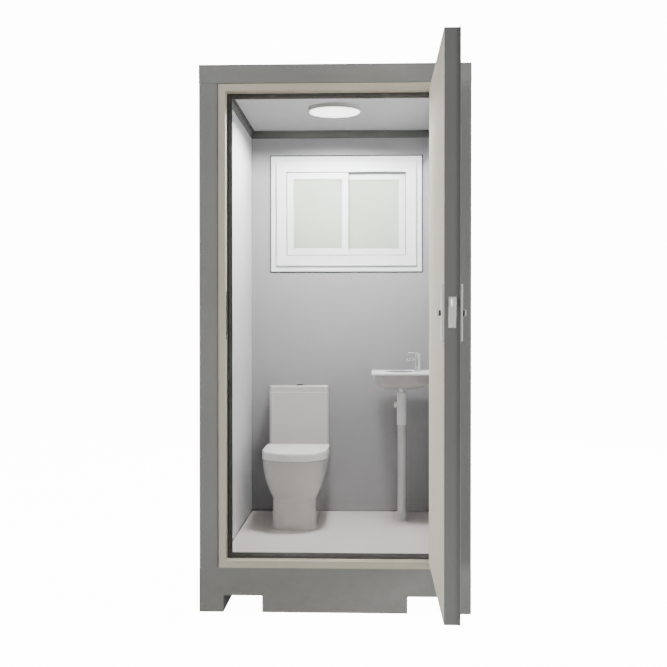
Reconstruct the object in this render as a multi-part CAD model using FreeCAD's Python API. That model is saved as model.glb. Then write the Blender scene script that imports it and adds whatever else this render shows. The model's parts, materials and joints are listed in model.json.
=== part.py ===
import FreeCAD, Part
import math
import os
from FreeCAD import Vector

# Toilet cabin: a welded steel frame with insulated walls, a door, a sliding window, a toilet and a basin.
# Millimetres. +X to the right of a person at the door, +Y into the cabin, +Z up.
# The origin is the middle of the base, on the ground. The door is drawn open by OPEN_ANGLE.

# Cabin frame
CABIN_WIDTH = 1240.0
CABIN_DEPTH = 1400.0
CABIN_HEIGHT = 2500.0
POST_SIZE = 87.0
BASE_HEIGHT = 203.0
TOP_RAIL_HEIGHT = 86.0
RAIL_DEPTH = 70.0
STEEL = 3.0
POCKET_WIDTH = 177.0
POCKET_HEIGHT = 77.0
POCKET_FROM_SIDE = 200.0
POCKET_SHEET = 3.0
POCKET_CORNER = 5.0
JOIST_WIDTH = 60.0
JOIST_WALL = 3.0
JOIST_COUNT = 4
JOIST_FIRST = 245.0
JOIST_PITCH = 233.0
CENTRE_BEAM_WIDTH = 80.0

# Floor, walls and ceiling
FLOOR_BOARD = 29.0
VINYL = 3.0
WALL_PANEL = 70.0
WALL_SHEET = 1.5
LINING = 5.0
RIB_PITCH = 175.0
RIB_BASE = 60.0
RIB_CREST = 34.0
RIB_HEIGHT = 8.0
CEILING_DROP = 66.0
CEILING_PANEL = 5.0
ROOF_BUILD = 50.0
TRIM_HEIGHT = 43.0
TRIM_DEPTH = 18.0
TRIM_SHEET = 3.0
ROOF_SHEET = 2.0
ROOF_RIB_COUNT = 4

# Door frame and leaf
FRAME_FACE = 32.5
FRAME_DEPTH = 101.0
FRAME_SETBACK = 3.0
FRAME_GAP = 1.5
FRAME_WALL = 2.5
STOP_WIDTH = 16.0
STOP_DEPTH = 38.0
SEAL_GAP = 0.4
SEAL_WIDTH = 13.0
SEAL_EASE = 2.5
LEAF_THICKNESS = 60.0
LEAF_GAP = 2.0
LEAF_LIP = 6.5
SKIN = 1.5
EDGE_WIDTH = 24.0
OPEN_ANGLE = 90.0

# Hinges
HINGE_OUT = 2.5
HINGE_FORWARD = 11.5
HINGE_COUNT = 3
HINGE_END = 240.0
KNUCKLE_RADIUS = 9.0
KNUCKLE_HEIGHT = 55.0
KNUCKLE_GAP = 0.5
PIN_RADIUS = 5.5
PIN_CLEARANCE = 0.05
PIN_HEAD = 4.0
PIN_HEAD_RADIUS = 7.5
LEAF_PLATE = 4.0
LEAF_PLATE_LENGTH = 62.0
FRAME_PLATE_GAP = 4.0
FRAME_PLATE_TUCK = 2.0

# Lock and levers
LEVER_HEIGHT = 1358.0
BACKSET = 33.0
BACKPLATE_HEIGHT = 208.0
BACKPLATE_WIDTH = 38.0
BACKPLATE = 9.0
BACKPLATE_CORNER = 7.0
BACKPLATE_EASE = 2.5
COLLAR_RADIUS = 10.5
COLLAR_LENGTH = 7.5
COLLAR_SEAT = 0.5
COLLAR_PLAY = 0.08
LEVER_THICKNESS = 6.0
LEVER_WIDTH = 24.0
LEVER_LENGTH = 112.0
LEVER_END_FLAT = 1.0
SPINDLE = 8.0
SPINDLE_HOLE = 6.4
SPINDLE_SHORT = 2.0
FACEPLATE_HEIGHT = 112.0
FACEPLATE_WIDTH = 28.0
FACEPLATE = 3.0
FACEPLATE_RISE = 2.0
CASE_DEPTH = 62.0
CASE_THICKNESS = 18.0
CASE_HEIGHT = 104.0
LATCH_RISE = 36.0
LATCH_HEIGHT = 26.0
LATCH_THICKNESS = 10.0
LATCH_THROW = 11.0
LATCH_TAIL = 34.0
LATCH_NOSE = 3.0
LATCH_EASE = 1.0
STRIKE_HEIGHT = 222.0
STRIKE_WIDTH = 30.0
STRIKE = 2.0
STRIKE_CORNER = 14.0
STRIKE_PLAY = 2.5
FIT = 0.3
OVERCUT = 1.0

# Window
WINDOW_X = 20.0
WINDOW_BELOW_CEILING = 480.0
CASING_BAND = 32.0
CASING_PROUD = 8.0
WINDOW_WIDTH = 808.0
WINDOW_HEIGHT = 602.0
WINDOW_PROUD = 18.0
WINDOW_LIP = 61.0
WINDOW_WEB = 40.0
WINDOW_FLANGE = 14.0
TRACK_LIP = 6.0
SASH_THICKNESS = 28.0
SASH_PLAY = 1.0
SASH_LIFT = 0.3
SASH_STILE = 36.0
SASH_RAIL = 40.0
SASH_BITE = 19.0
MEETING_SHIFT = 12.0
GLASS = 6.0
GLASS_BITE = 9.0
OUTER_TRIM_WIDTH = 34.0
OUTER_TRIM = 10.0
OUTER_TRIM_EASE = 4.0

# Toilet
TOILET_X = -241.0
TOILET_DEPTH = 690.0
PAN_HEIGHT = 369.0
PAN_WALL = 14.0
BOWL_HALF = 172.0
BOWL_NOSE = 200.0
FOOT_HALF = 114.0
FOOT_SETBACK = 84.0
FOOT_NOSE = 85.0
FOOT_HEIGHT = 163.0
PAN_WALL_GAP = 6.0
BOWL_HOLE_HALF = 124.0
BOWL_HOLE_LONG = 160.0
BOWL_DEPTH = 195.0
BOWL_SHIFT = 50.0
BOWL_SWELL = 0.85
RIM_WIDTH = 38.0
SEAT_HINGE_FROM_WALL = 262.0
SEAT_HINGE_RISE = 15.0
SEAT_THICKNESS = 20.0
SEAT_RING = 50.0
SEAT_STAND = 3.0
SEAT_EASE = 4.0
SEAT_ARM = 34.0
SEAT_ARM_HALF = 5.0
SEAT_BACK_GAP = 28.0
SEAT_HOLE_SHORTER = 14.0
LID_HEIGHT = 45.0
LID_SKIRT_GAP = 2.5
LID_TOP = 12.0
LID_WALL = 8.0
LID_BACK = 10.0
LID_PLAY = 4.0
LID_OVERHANG = 2.0
LID_EASE = 5.0
LID_SWING = 16.0
LID_LUG_GAP = 1.5
SEAT_PIN_RADIUS = 5.0
SEAT_LUG_RADIUS = 9.0
SEAT_LUG = 14.0
SEAT_LUG_SPREAD = 75.0
SEAT_POST_RADIUS = 5.5
BUFFER_RADIUS = 8.0
BUFFER_FRONT_INSET = 60.0
BUFFER_REAR_INSET = 34.0
BUFFER_FROM_NOSE = 95.0
BUFFER_FROM_HINGE = 98.0
CISTERN_WIDTH = 336.0
CISTERN_DEPTH = 185.0
CISTERN_HEIGHT = 326.0
CISTERN_WALL = 10.0
CISTERN_CORNER = 22.0
CISTERN_BOSS = 6.0
CISTERN_BOSS_RADIUS = 46.0
CISTERN_LID = 36.0
CISTERN_EASE = 3.0
CISTERN_LID_INSET = 1.5
CISTERN_LID_EASE = 6.0
CISTERN_LID_TOP = 14.0
BUTTON_RADIUS = 16.5
BUTTON_PROUD = 4.0
BUTTON_DEPTH = 14.0
BUTTON_SPLIT = 0.8
BUTTON_PLAY = 0.4
BUTTON_RING = 2.2
BUTTON_EASE = 1.5
RING_FLANGE = 1.5
RING_PROUD = 2.0
VALVE_BASE_RADIUS = 34.0
VALVE_BASE = 60.0
VALVE_RADIUS = 24.0
VALVE_NECK_RADIUS = 14.0
VALVE_NECK = 25.0
FILL_OFFSET = 104.0
FILL_STEM_RADIUS = 9.0
FILL_FLOAT_RADIUS = 30.0
FILL_FLOAT = 65.0
FILL_DROP = 40.0
SOIL_RADIUS = 50.0
SOIL_WALL = 3.2
SOIL_FROM_WALL = 128.0
SOIL_SOCKET = 90.0
SOIL_END_GAP = 2.0
PIPE_END = 100.0
PIPE_PLAY = 0.5

# Basin and tap
BASIN_PROJECTION = 360.0
BASIN_WIDTH = 420.0
BASIN_Y = 320.0
BASIN_TOP = 822.0
BASIN_RIM = 11.0
BASIN_DEPTH = 86.0
BASIN_FRONT_CORNER = 14.0
BASIN_WALL_CORNER = 42.0
BASIN_EASE = 3.0
BASIN_UNDERCUT = 5.0
BASIN_HOLE_FULLNESS = 0.62
WASTE_FROM_WALL = 196.0
BOWL_FROM_WALL = 211.0
BASIN_HOLE_X = 81.0
BASIN_HOLE_Y = 135.0
BASIN_HOLE_DEPTH = 75.0
WASTE_FLANGE = 31.0
WASTE_BODY = 20.0
WASTE_PROUD = 3.0
WASTE_NUT = 4.0
TAIL_RADIUS = 14.0
TAIL_SOCKET = 30.0
TRAP_RADIUS = 26.0
TRAP_TOP = 706.0
TRAP_HEIGHT = 177.0
CAP_RADIUS = 17.5
CAP_LENGTH = 13.0
CAP_DROP = 66.0
CAP_STEP = 3.0
DRAIN_RADIUS = 22.0
DRAIN_WALL = 2.5
DRAIN_SOCKET = 40.0
COLLAR_OUTER = 28.0
COLLAR_HEIGHT = 52.0
COLLAR_EASE = 2.5
TAP_FROM_WALL = 108.0
TAP_RADIUS = 15.3
TAP_BODY = 73.0
TAP_HEAD = 27.0
TAP_SPOUT = 56.0
SPOUT_RADIUS = 6.5
TAP_SHANK = 8.0
TAP_SHANK_LENGTH = 60.0
TAP_NOZZLE = 10.0
TAP_EASE = 4.0
TAP_SLOT = 12.0
TAP_SLOT_BACK = 8.0
TAP_PIVOT_DROP = 6.0
TAP_PIVOT_RADIUS = 1.5
TAP_PIVOT_BITE = 3.0
TAP_ROOT = 5.0
TAP_LEVER_GAP = 1.0
TAP_LEVER_LENGTH = 58.0
TAP_LEVER_WIDTH = 9.0
TAP_LEVER_THICKNESS = 5.0

# Ceiling light
LIGHT_X = -24.0
LIGHT_FROM_DOOR = 664.0
LIGHT_RADIUS = 136.0
LIGHT_BODY = 13.0
LIGHT_RIM = 4.0
LENS_SEAT = 4.0
LENS_DEPTH = 13.0
LENS_EDGE = 7.0
LENS_DOME = 2.0

# Levels and faces worked out from the sizes above
HALF_WIDTH = CABIN_WIDTH / 2
FRONT = -CABIN_DEPTH / 2
BACK = CABIN_DEPTH / 2
INNER_X = HALF_WIDTH - POST_SIZE
TOP_RAIL_Z = CABIN_HEIGHT - TOP_RAIL_HEIGHT
FLOOR_Z = BASE_HEIGHT + FLOOR_BOARD + VINYL
CEILING_Z = CABIN_HEIGHT - CEILING_DROP
WINDOW_Z = CEILING_Z - WINDOW_BELOW_CEILING
ROOM_X = INNER_X - LINING
ROOM_BACK = BACK - POST_SIZE - LINING
FRAME_FRONT = FRONT + FRAME_SETBACK
FRAME_BACK = FRAME_FRONT + FRAME_DEPTH
FRAME_X = INNER_X - FRAME_GAP
FRAME_TOP = TOP_RAIL_Z - FRAME_GAP
OPENING_X = FRAME_X - FRAME_FACE
OPENING_BOTTOM = BASE_HEIGHT + FRAME_FACE
OPENING_TOP = FRAME_TOP - FRAME_FACE
LEAF_X = OPENING_X - LEAF_GAP
LEAF_BOTTOM = OPENING_BOTTOM + LEAF_GAP
LEAF_TOP = OPENING_TOP - LEAF_GAP
LEAF_INNER = FRONT + LEAF_THICKNESS
STOP_FRONT = FRAME_BACK - STOP_DEPTH
HINGE_AXIS = Vector(LEAF_X + HINGE_OUT, FRONT - HINGE_FORWARD, 0)
POCKET_TOP = POCKET_HEIGHT + POCKET_SHEET


def box(x0, x1, y0, y1, z0, z1):
    return Part.makeBox(x1 - x0, y1 - y0, z1 - z0, Vector(x0, y0, z0))


def rod(x, y, z0, z1, radius):
    return Part.makeCylinder(radius, z1 - z0, Vector(x, y, z0))


def rod_x(x0, x1, y, z, radius):
    return Part.makeCylinder(radius, x1 - x0, Vector(x0, y, z), Vector(1, 0, 0))


def rod_y(x, y0, y1, z, radius):
    return Part.makeCylinder(radius, y1 - y0, Vector(x, y0, z), Vector(0, 1, 0))


def prism(points, along):
    """Extrude a closed polygon along a vector."""
    corners = [Vector(*p) for p in points]
    return Part.Face(Part.makePolygon(corners + corners[:1])).extrude(Vector(*along))


def fuse(first, *others):
    return first.multiFuse(list(others)).removeSplitter()


def cut(first, *others):
    for other in others:
        first = first.cut(other)
    return first


def mirrored_x(shape, x=0.0):
    return shape.mirror(Vector(x, 0, 0), Vector(1, 0, 0))


def upright(u, w, v):
    """A ring that stands in the XZ plane, with its depth along Y."""
    return Vector(u, w, v)


def level(u, w, v):
    """A ring that lies in the XY plane, with its depth along Z."""
    return Vector(u, v, w)


def mitred_ring(u0, u1, v0, v1, profile, place, void=None):
    """Four members round a rectangle, mitred at the corners: low, right, high, left.

    The profile is a closed list of (depth, inset) points, inset measured from the outer edge.
    """
    reach = max(inset for _, inset in profile)
    depths = [depth for depth, _ in profile]
    corners = [(u0, v0), (u1, v0), (u1, v1), (u0, v1)]
    members = []
    for i, (au, av) in enumerate(corners):
        bu, bv = corners[(i + 1) % 4]
        length = math.hypot(bu - au, bv - av)
        tu, tv = (bu - au) / length, (bv - av) / length
        nu, nv = -tv, tu

        def bar(points):
            corner = [place(au + nu * d, w, av + nv * d) for w, d in points]
            run = place(bu, 0, bv) - place(au, 0, av)
            return Part.Face(Part.makePolygon(corner + corner[:1])).extrude(run)

        member = bar(profile)
        if void:
            member = member.cut(bar(void))
        trapezoid = [
            (au, av),
            (bu, bv),
            (bu + (nu - tu) * reach, bv + (nv - tv) * reach),
            (au + (nu + tu) * reach, av + (nv + tv) * reach),
        ]
        low, high = min(depths), max(depths)
        corner = [place(u, low, v) for u, v in trapezoid]
        mitre = Part.Face(Part.makePolygon(corner + corner[:1])).extrude(place(0, high - low, 0))
        members.append(member.common(mitre).Solids[0])
    return members


def rectangle(depth0, depth1, inset0, inset1):
    return [(depth0, inset0), (depth1, inset0), (depth1, inset1), (depth0, inset1)]


def inset_rectangle(depth0, depth1, inset0, inset1, wall):
    return rectangle(depth0 + wall, depth1 - wall, inset0 + wall, inset1 - wall)


def bezier(*points):
    curve = Part.BezierCurve()
    curve.setPoles([Vector(*p) for p in points])
    return curve.toShape()


ROUND = 0.5523


def oval(x, y, z, half_x, half_y, fullness=ROUND):
    """A closed oval of four curves. A higher fullness makes it squarer."""
    kx, ky = half_x * fullness, half_y * fullness
    east, north = (x + half_x, y, z), (x, y + half_y, z)
    west, south = (x - half_x, y, z), (x, y - half_y, z)
    return Part.Wire(
        [
            bezier(east, (x + half_x, y + ky, z), (x + kx, y + half_y, z), north),
            bezier(north, (x - kx, y + half_y, z), (x - half_x, y + ky, z), west),
            bezier(west, (x - half_x, y - ky, z), (x - kx, y - half_y, z), south),
            bezier(south, (x + kx, y - half_y, z), (x + half_x, y - ky, z), east),
        ]
    )


def nosed(x, front, nose, back, z, half, fullness=ROUND):
    """A D-shaped outline: straight back and sides, and a round nose towards the door."""
    side = front + nose
    kx, ky = half * fullness, nose * fullness
    right, tip, left = (x + half, side, z), (x, front, z), (x - half, side, z)
    back_left, back_right = Vector(x - half, back, z), Vector(x + half, back, z)
    return Part.Wire(
        [
            Part.makeLine(back_left, back_right),
            Part.makeLine(back_right, Vector(*right)),
            bezier(right, (x + half, side - ky, z), (x + kx, front, z), tip),
            bezier(tip, (x - kx, front, z), (x - half, side - ky, z), left),
            Part.makeLine(Vector(*left), back_left),
        ]
    )


def slab(wire, height):
    return Part.Face(wire).extrude(Vector(0, 0, height))


def loft(wires, ruled=False):
    return Part.makeLoft(wires, True, ruled)


def round_edges(shape, radius, chosen):
    return shape.makeFillet(radius, [e for e in shape.Edges if chosen(e)])


def ease_edges(shape, size, chosen):
    return shape.makeChamfer(size, [e for e in shape.Edges if chosen(e)])


def at_height(edge, z):
    return abs(edge.BoundBox.ZMin - z) < 1e-3 and abs(edge.BoundBox.ZMax - z) < 1e-3


def vertical(edge):
    return edge.BoundBox.XLength < 1e-3 and edge.BoundBox.YLength < 1e-3


def revolve_z(x, y, points):
    """Turn a closed (radius, height) outline about a vertical axis."""
    corners = [Vector(x + r, y, z) for r, z in points]
    face = Part.Face(Part.makePolygon(corners + corners[:1]))
    return face.revolve(Vector(x, y, 0), Vector(0, 0, 1), 360)


def export(name, *solids):
    shape = solids[0] if len(solids) == 1 else Part.makeCompound(list(solids))
    if not shape.isValid() or len(shape.Solids) != len(solids):
        raise ValueError(name + " is not " + str(len(solids)) + " sound solids")
    shape.exportStep("parts/" + name + ".step")
    print(name, len(solids), "solid(s)", round(shape.Volume / 1e6, 3), "litres")


def opened(*solids):
    """Turn what hangs on the door from shut to the drawn pose."""
    return [s.copy().rotate(HINGE_AXIS, Vector(0, 0, 1), OPEN_ANGLE) for s in solids]


def make_base():
    profile = rectangle(0, BASE_HEIGHT, 0, RAIL_DEPTH)
    void = inset_rectangle(0, BASE_HEIGHT, 0, RAIL_DEPTH, STEEL)
    front, right, rear, left = mitred_ring(-HALF_WIDTH, HALF_WIDTH, FRONT, BACK, profile, level, void)
    half = POCKET_WIDTH / 2 + POCKET_SHEET
    pockets = []
    for side in (-1, 1):
        x = side * (HALF_WIDTH - POCKET_FROM_SIDE)
        sleeve = box(x - half, x + half, FRONT, BACK, 0, POCKET_TOP)
        inside = box(x - POCKET_WIDTH / 2, x + POCKET_WIDTH / 2, FRONT, BACK, 0, POCKET_HEIGHT)
        upper = [e for e in inside.Edges if at_height(e, POCKET_HEIGHT) and e.BoundBox.YLength > POCKET_WIDTH]
        front, rear = cut(front, sleeve), cut(rear, sleeve)
        pockets.append(cut(sleeve, inside.makeFillet(POCKET_CORNER, upper)))
    export("end_base_rails", front.Solids[0], rear.Solids[0])
    export("side_base_rails", left, right)
    export("fork_pockets", *pockets)

    reach = HALF_WIDTH - RAIL_DEPTH
    joists = []
    for i in range(JOIST_COUNT):
        y = FRONT + JOIST_FIRST + i * JOIST_PITCH
        half = JOIST_WIDTH / 2
        outside = box(-reach, reach, y - half, y + half, POCKET_TOP, BASE_HEIGHT)
        inside = box(
            -reach, reach, y - half + JOIST_WALL, y + half - JOIST_WALL,
            POCKET_TOP + JOIST_WALL, BASE_HEIGHT - JOIST_WALL,
        )
        joists.append(cut(outside, inside))
    half = CENTRE_BEAM_WIDTH / 2
    ends = BACK - RAIL_DEPTH
    beam = box(-half, half, -ends, ends, 0, POCKET_TOP)
    hollow = box(-half + JOIST_WALL, half - JOIST_WALL, -ends, ends, JOIST_WALL, POCKET_TOP - JOIST_WALL)
    export("floor_joists", *joists, cut(beam, hollow))


def make_upper_frame():
    posts = []
    for x in (-HALF_WIDTH, INNER_X):
        for y in (FRONT, BACK - POST_SIZE):
            post = box(x, x + POST_SIZE, y, y + POST_SIZE, BASE_HEIGHT, TOP_RAIL_Z)
            hollow = box(
                x + STEEL, x + POST_SIZE - STEEL, y + STEEL, y + POST_SIZE - STEEL, BASE_HEIGHT, TOP_RAIL_Z
            )
            posts.append(cut(post, hollow))
    export("corner_posts", *posts)
    profile = rectangle(TOP_RAIL_Z, CABIN_HEIGHT, 0, POST_SIZE)
    void = inset_rectangle(TOP_RAIL_Z, CABIN_HEIGHT, 0, POST_SIZE, STEEL)
    export("roof_frame", *mitred_ring(-HALF_WIDTH, HALF_WIDTH, FRONT, BACK, profile, level, void))


def ribbed(length, face, sheet, rise, count, pitch):
    """Section of a sheet with trapezoid ribs: closed (along, out) points, the sheet's back at face."""
    first = -(count - 1) * pitch / 2
    over = [(-length / 2, face)]
    for i in range(count):
        middle = first + i * pitch
        over += [
            (middle - RIB_BASE / 2, face),
            (middle - RIB_CREST / 2, face + rise),
            (middle + RIB_CREST / 2, face + rise),
            (middle + RIB_BASE / 2, face),
        ]
    over.append((length / 2, face))
    return [(s, out + sheet) for s, out in over] + list(reversed(over))


def make_walls():
    """Ribbed steel sheets outside, insulation, and a smooth lining inside."""
    height = TOP_RAIL_Z - BASE_HEIGHT
    length = CABIN_DEPTH - 2 * POST_SIZE
    back = WALL_PANEL - WALL_SHEET

    def wall(run):
        count = int((run - RIB_BASE) // RIB_PITCH) + 1
        return ribbed(run, back, WALL_SHEET, RIB_HEIGHT, count, RIB_PITCH)

    right = prism([(INNER_X + out, s, BASE_HEIGHT) for s, out in wall(length)], (0, 0, height))
    export("side_wall_panels", mirrored_x(right), right)

    inner_y = BACK - POST_SIZE
    hole_x, hole_z = WINDOW_WIDTH / 2 + SASH_PLAY, WINDOW_HEIGHT / 2 + SASH_PLAY
    hole = box(
        WINDOW_X - hole_x, WINDOW_X + hole_x, ROOM_BACK, BACK, WINDOW_Z - hole_z, WINDOW_Z + hole_z
    )
    land_x, land_z = WINDOW_WIDTH / 2 + OUTER_TRIM_WIDTH, WINDOW_HEIGHT / 2 + OUTER_TRIM_WIDTH
    around = (
        WINDOW_X - land_x - SASH_PLAY, WINDOW_X + land_x + SASH_PLAY,
        WINDOW_Z - land_z - SASH_PLAY, WINDOW_Z + land_z + SASH_PLAY,
    )
    sheet_y = inner_y + back
    landing = box(around[0], around[1], sheet_y, BACK, around[2], around[3])
    flat = box(around[0], around[1], sheet_y, sheet_y + WALL_SHEET, around[2], around[3])
    rear = prism([(s, inner_y + out, BASE_HEIGHT) for s, out in wall(2 * INNER_X)], (0, 0, height))
    export("rear_wall_panel", cut(fuse(cut(rear, landing), flat), hole))

    half = length / 2
    side = box(INNER_X, INNER_X + back, -half, half, BASE_HEIGHT, TOP_RAIL_Z)
    rear = cut(box(-INNER_X, INNER_X, inner_y, sheet_y, BASE_HEIGHT, TOP_RAIL_Z), hole)
    over = box(-INNER_X, INNER_X, -half, half, CEILING_Z + CEILING_PANEL, CEILING_Z + ROOF_BUILD)
    export("insulation", mirrored_x(side), side, rear, over)

    side = box(ROOM_X, INNER_X, FRAME_BACK, ROOM_BACK, FLOOR_Z, CEILING_Z)
    rear = cut(box(-INNER_X, INNER_X, ROOM_BACK, inner_y, FLOOR_Z, CEILING_Z), hole)
    export("wall_linings", mirrored_x(side), side, rear)


def make_floor_and_ceiling():
    soil_y = ROOM_BACK - SOIL_FROM_WALL
    holes = [
        rod(TOILET_X, soil_y, BASE_HEIGHT, FLOOR_Z, SOIL_RADIUS + PIPE_PLAY),
        rod(ROOM_X - WASTE_FROM_WALL, BASIN_Y, BASE_HEIGHT, FLOOR_Z, DRAIN_RADIUS + PIPE_PLAY),
    ]
    board = box(-INNER_X, INNER_X, FRAME_BACK, BACK - POST_SIZE, BASE_HEIGHT, FLOOR_Z - VINYL)
    vinyl = box(-INNER_X, INNER_X, FRAME_BACK, BACK - POST_SIZE, FLOOR_Z - VINYL, FLOOR_Z)
    export("floor_board", cut(board, *holes))
    export("floor_vinyl", cut(vinyl, *holes))

    rear, top = BACK - POST_SIZE, CEILING_Z + ROOF_BUILD
    export("ceiling_panel", box(-INNER_X, INNER_X, -rear, rear, CEILING_Z, CEILING_Z + CEILING_PANEL))
    rise = CABIN_HEIGHT - ROOF_SHEET - top - ROOF_SHEET
    outline = ribbed(2 * INNER_X, top, ROOF_SHEET, rise, ROOF_RIB_COUNT, 2 * INNER_X / ROOF_RIB_COUNT)
    export("roof_sheet", prism([(x, -rear, z) for x, z in outline], (0, 2 * rear, 0)))

    low = CEILING_Z - TRIM_HEIGHT
    angle = [
        (low, 0), (low, TRIM_SHEET), (CEILING_Z - TRIM_SHEET, TRIM_SHEET),
        (CEILING_Z - TRIM_SHEET, TRIM_DEPTH), (CEILING_Z, TRIM_DEPTH), (CEILING_Z, 0),
    ]
    export("ceiling_trim", *mitred_ring(-ROOM_X, ROOM_X, FRAME_BACK, ROOM_BACK, angle, level))


def make_door_frame():
    profile = rectangle(FRAME_FRONT, FRAME_BACK, 0, FRAME_FACE)
    void = inset_rectangle(FRAME_FRONT, FRAME_BACK, 0, FRAME_FACE, FRAME_WALL)
    sill, hinge_jamb, head, lock_jamb = mitred_ring(
        -FRAME_X, FRAME_X, BASE_HEIGHT, FRAME_TOP, profile, upright, void
    )
    middle = FRONT + LEAF_THICKNESS / 2
    half = STRIKE_WIDTH / 2
    low, high = LEVER_HEIGHT - STRIKE_HEIGHT / 2, LEVER_HEIGHT + STRIKE_HEIGHT / 2
    rebate = -OPENING_X
    recess = box(rebate - STRIKE, rebate, middle - half, middle + half, low, high)
    latch_z = LEVER_HEIGHT + LATCH_RISE
    mouth_y, mouth_z = LATCH_THICKNESS / 2 + STRIKE_PLAY, LATCH_HEIGHT / 2 + STRIKE_PLAY
    mouth = box(
        rebate - FRAME_WALL - LATCH_THROW, rebate, middle - mouth_y, middle + mouth_y,
        latch_z - mouth_z, latch_z + mouth_z,
    )
    export("door_frame", sill, hinge_jamb, head, cut(lock_jamb, recess, mouth).Solids[0])
    strike = round_edges(recess, STRIKE_CORNER, lambda e: e.BoundBox.XLength > STRIKE - 1e-3)
    export("strike_plate", cut(strike, mouth))

    stop = rectangle(STOP_FRONT, FRAME_BACK, 0, STOP_WIDTH)
    ring = (-OPENING_X, OPENING_X, OPENING_BOTTOM, OPENING_TOP)
    export("door_stop", *mitred_ring(*ring, stop, upright))
    face = LEAF_INNER + SEAL_GAP
    bead = [
        (STOP_FRONT, 0), (STOP_FRONT, SEAL_WIDTH), (face + SEAL_EASE, SEAL_WIDTH),
        (face, SEAL_WIDTH - SEAL_EASE), (face, SEAL_EASE), (face + SEAL_EASE, 0),
    ]
    export("door_seal", *mitred_ring(*ring, bead, upright))


def hinge_levels():
    first, last = LEAF_BOTTOM + HINGE_END, LEAF_TOP - HINGE_END
    return [first + i * (last - first) / (HINGE_COUNT - 1) for i in range(HINGE_COUNT)]


def make_hinges():
    """Lift-off hinges: the lower knuckle and its pin stay on the frame, the upper one lifts with the door."""
    ax, ay = HINGE_AXIS.x, HINGE_AXIS.y
    bore = PIN_RADIUS + PIN_CLEARANCE
    fixed, pins, lifted = [], [], []
    for z in hinge_levels():
        low, high = z - KNUCKLE_HEIGHT, z + KNUCKLE_HEIGHT
        plate_x = LEAF_X + LEAF_LIP + FRAME_PLATE_GAP
        plate = prism(
            [
                (plate_x, FRAME_FRONT, low), (FRAME_X, FRAME_FRONT, low),
                (FRAME_X, FRAME_FRONT - LEAF_PLATE, low), (ax + KNUCKLE_RADIUS, ay, low), (ax, ay, low),
                (plate_x, ay + KNUCKLE_RADIUS - FRAME_PLATE_TUCK, low),
            ],
            (0, 0, KNUCKLE_HEIGHT),
        )
        knuckle = fuse(rod(ax, ay, low, z, KNUCKLE_RADIUS), plate)
        fixed.append(cut(knuckle, rod(ax, ay, low, z, bore)))
        pin = fuse(
            rod(ax, ay, low, high - PIN_HEAD, PIN_RADIUS), rod(ax, ay, low - PIN_HEAD, low, PIN_HEAD_RADIUS)
        )
        pins.append(pin)
        start = z + KNUCKLE_GAP
        plate = prism(
            [
                (ax - LEAF_PLATE_LENGTH, FRONT, start), (ax - LEAF_PLATE_LENGTH, FRONT - LEAF_PLATE, start),
                (ax - KNUCKLE_RADIUS, FRONT - LEAF_PLATE, start), (ax - KNUCKLE_RADIUS, ay, start),
                (ax, ay, start), (ax, FRONT, start),
            ],
            (0, 0, high - start),
        )
        knuckle = fuse(rod(ax, ay, start, high, KNUCKLE_RADIUS), plate)
        lifted.append(cut(knuckle, rod(ax, ay, start, high, bore)))
    export("hinge_frame_leaves", *fixed)
    export("hinge_pins", *pins)
    export("hinge_door_leaves", *opened(*lifted))


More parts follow.
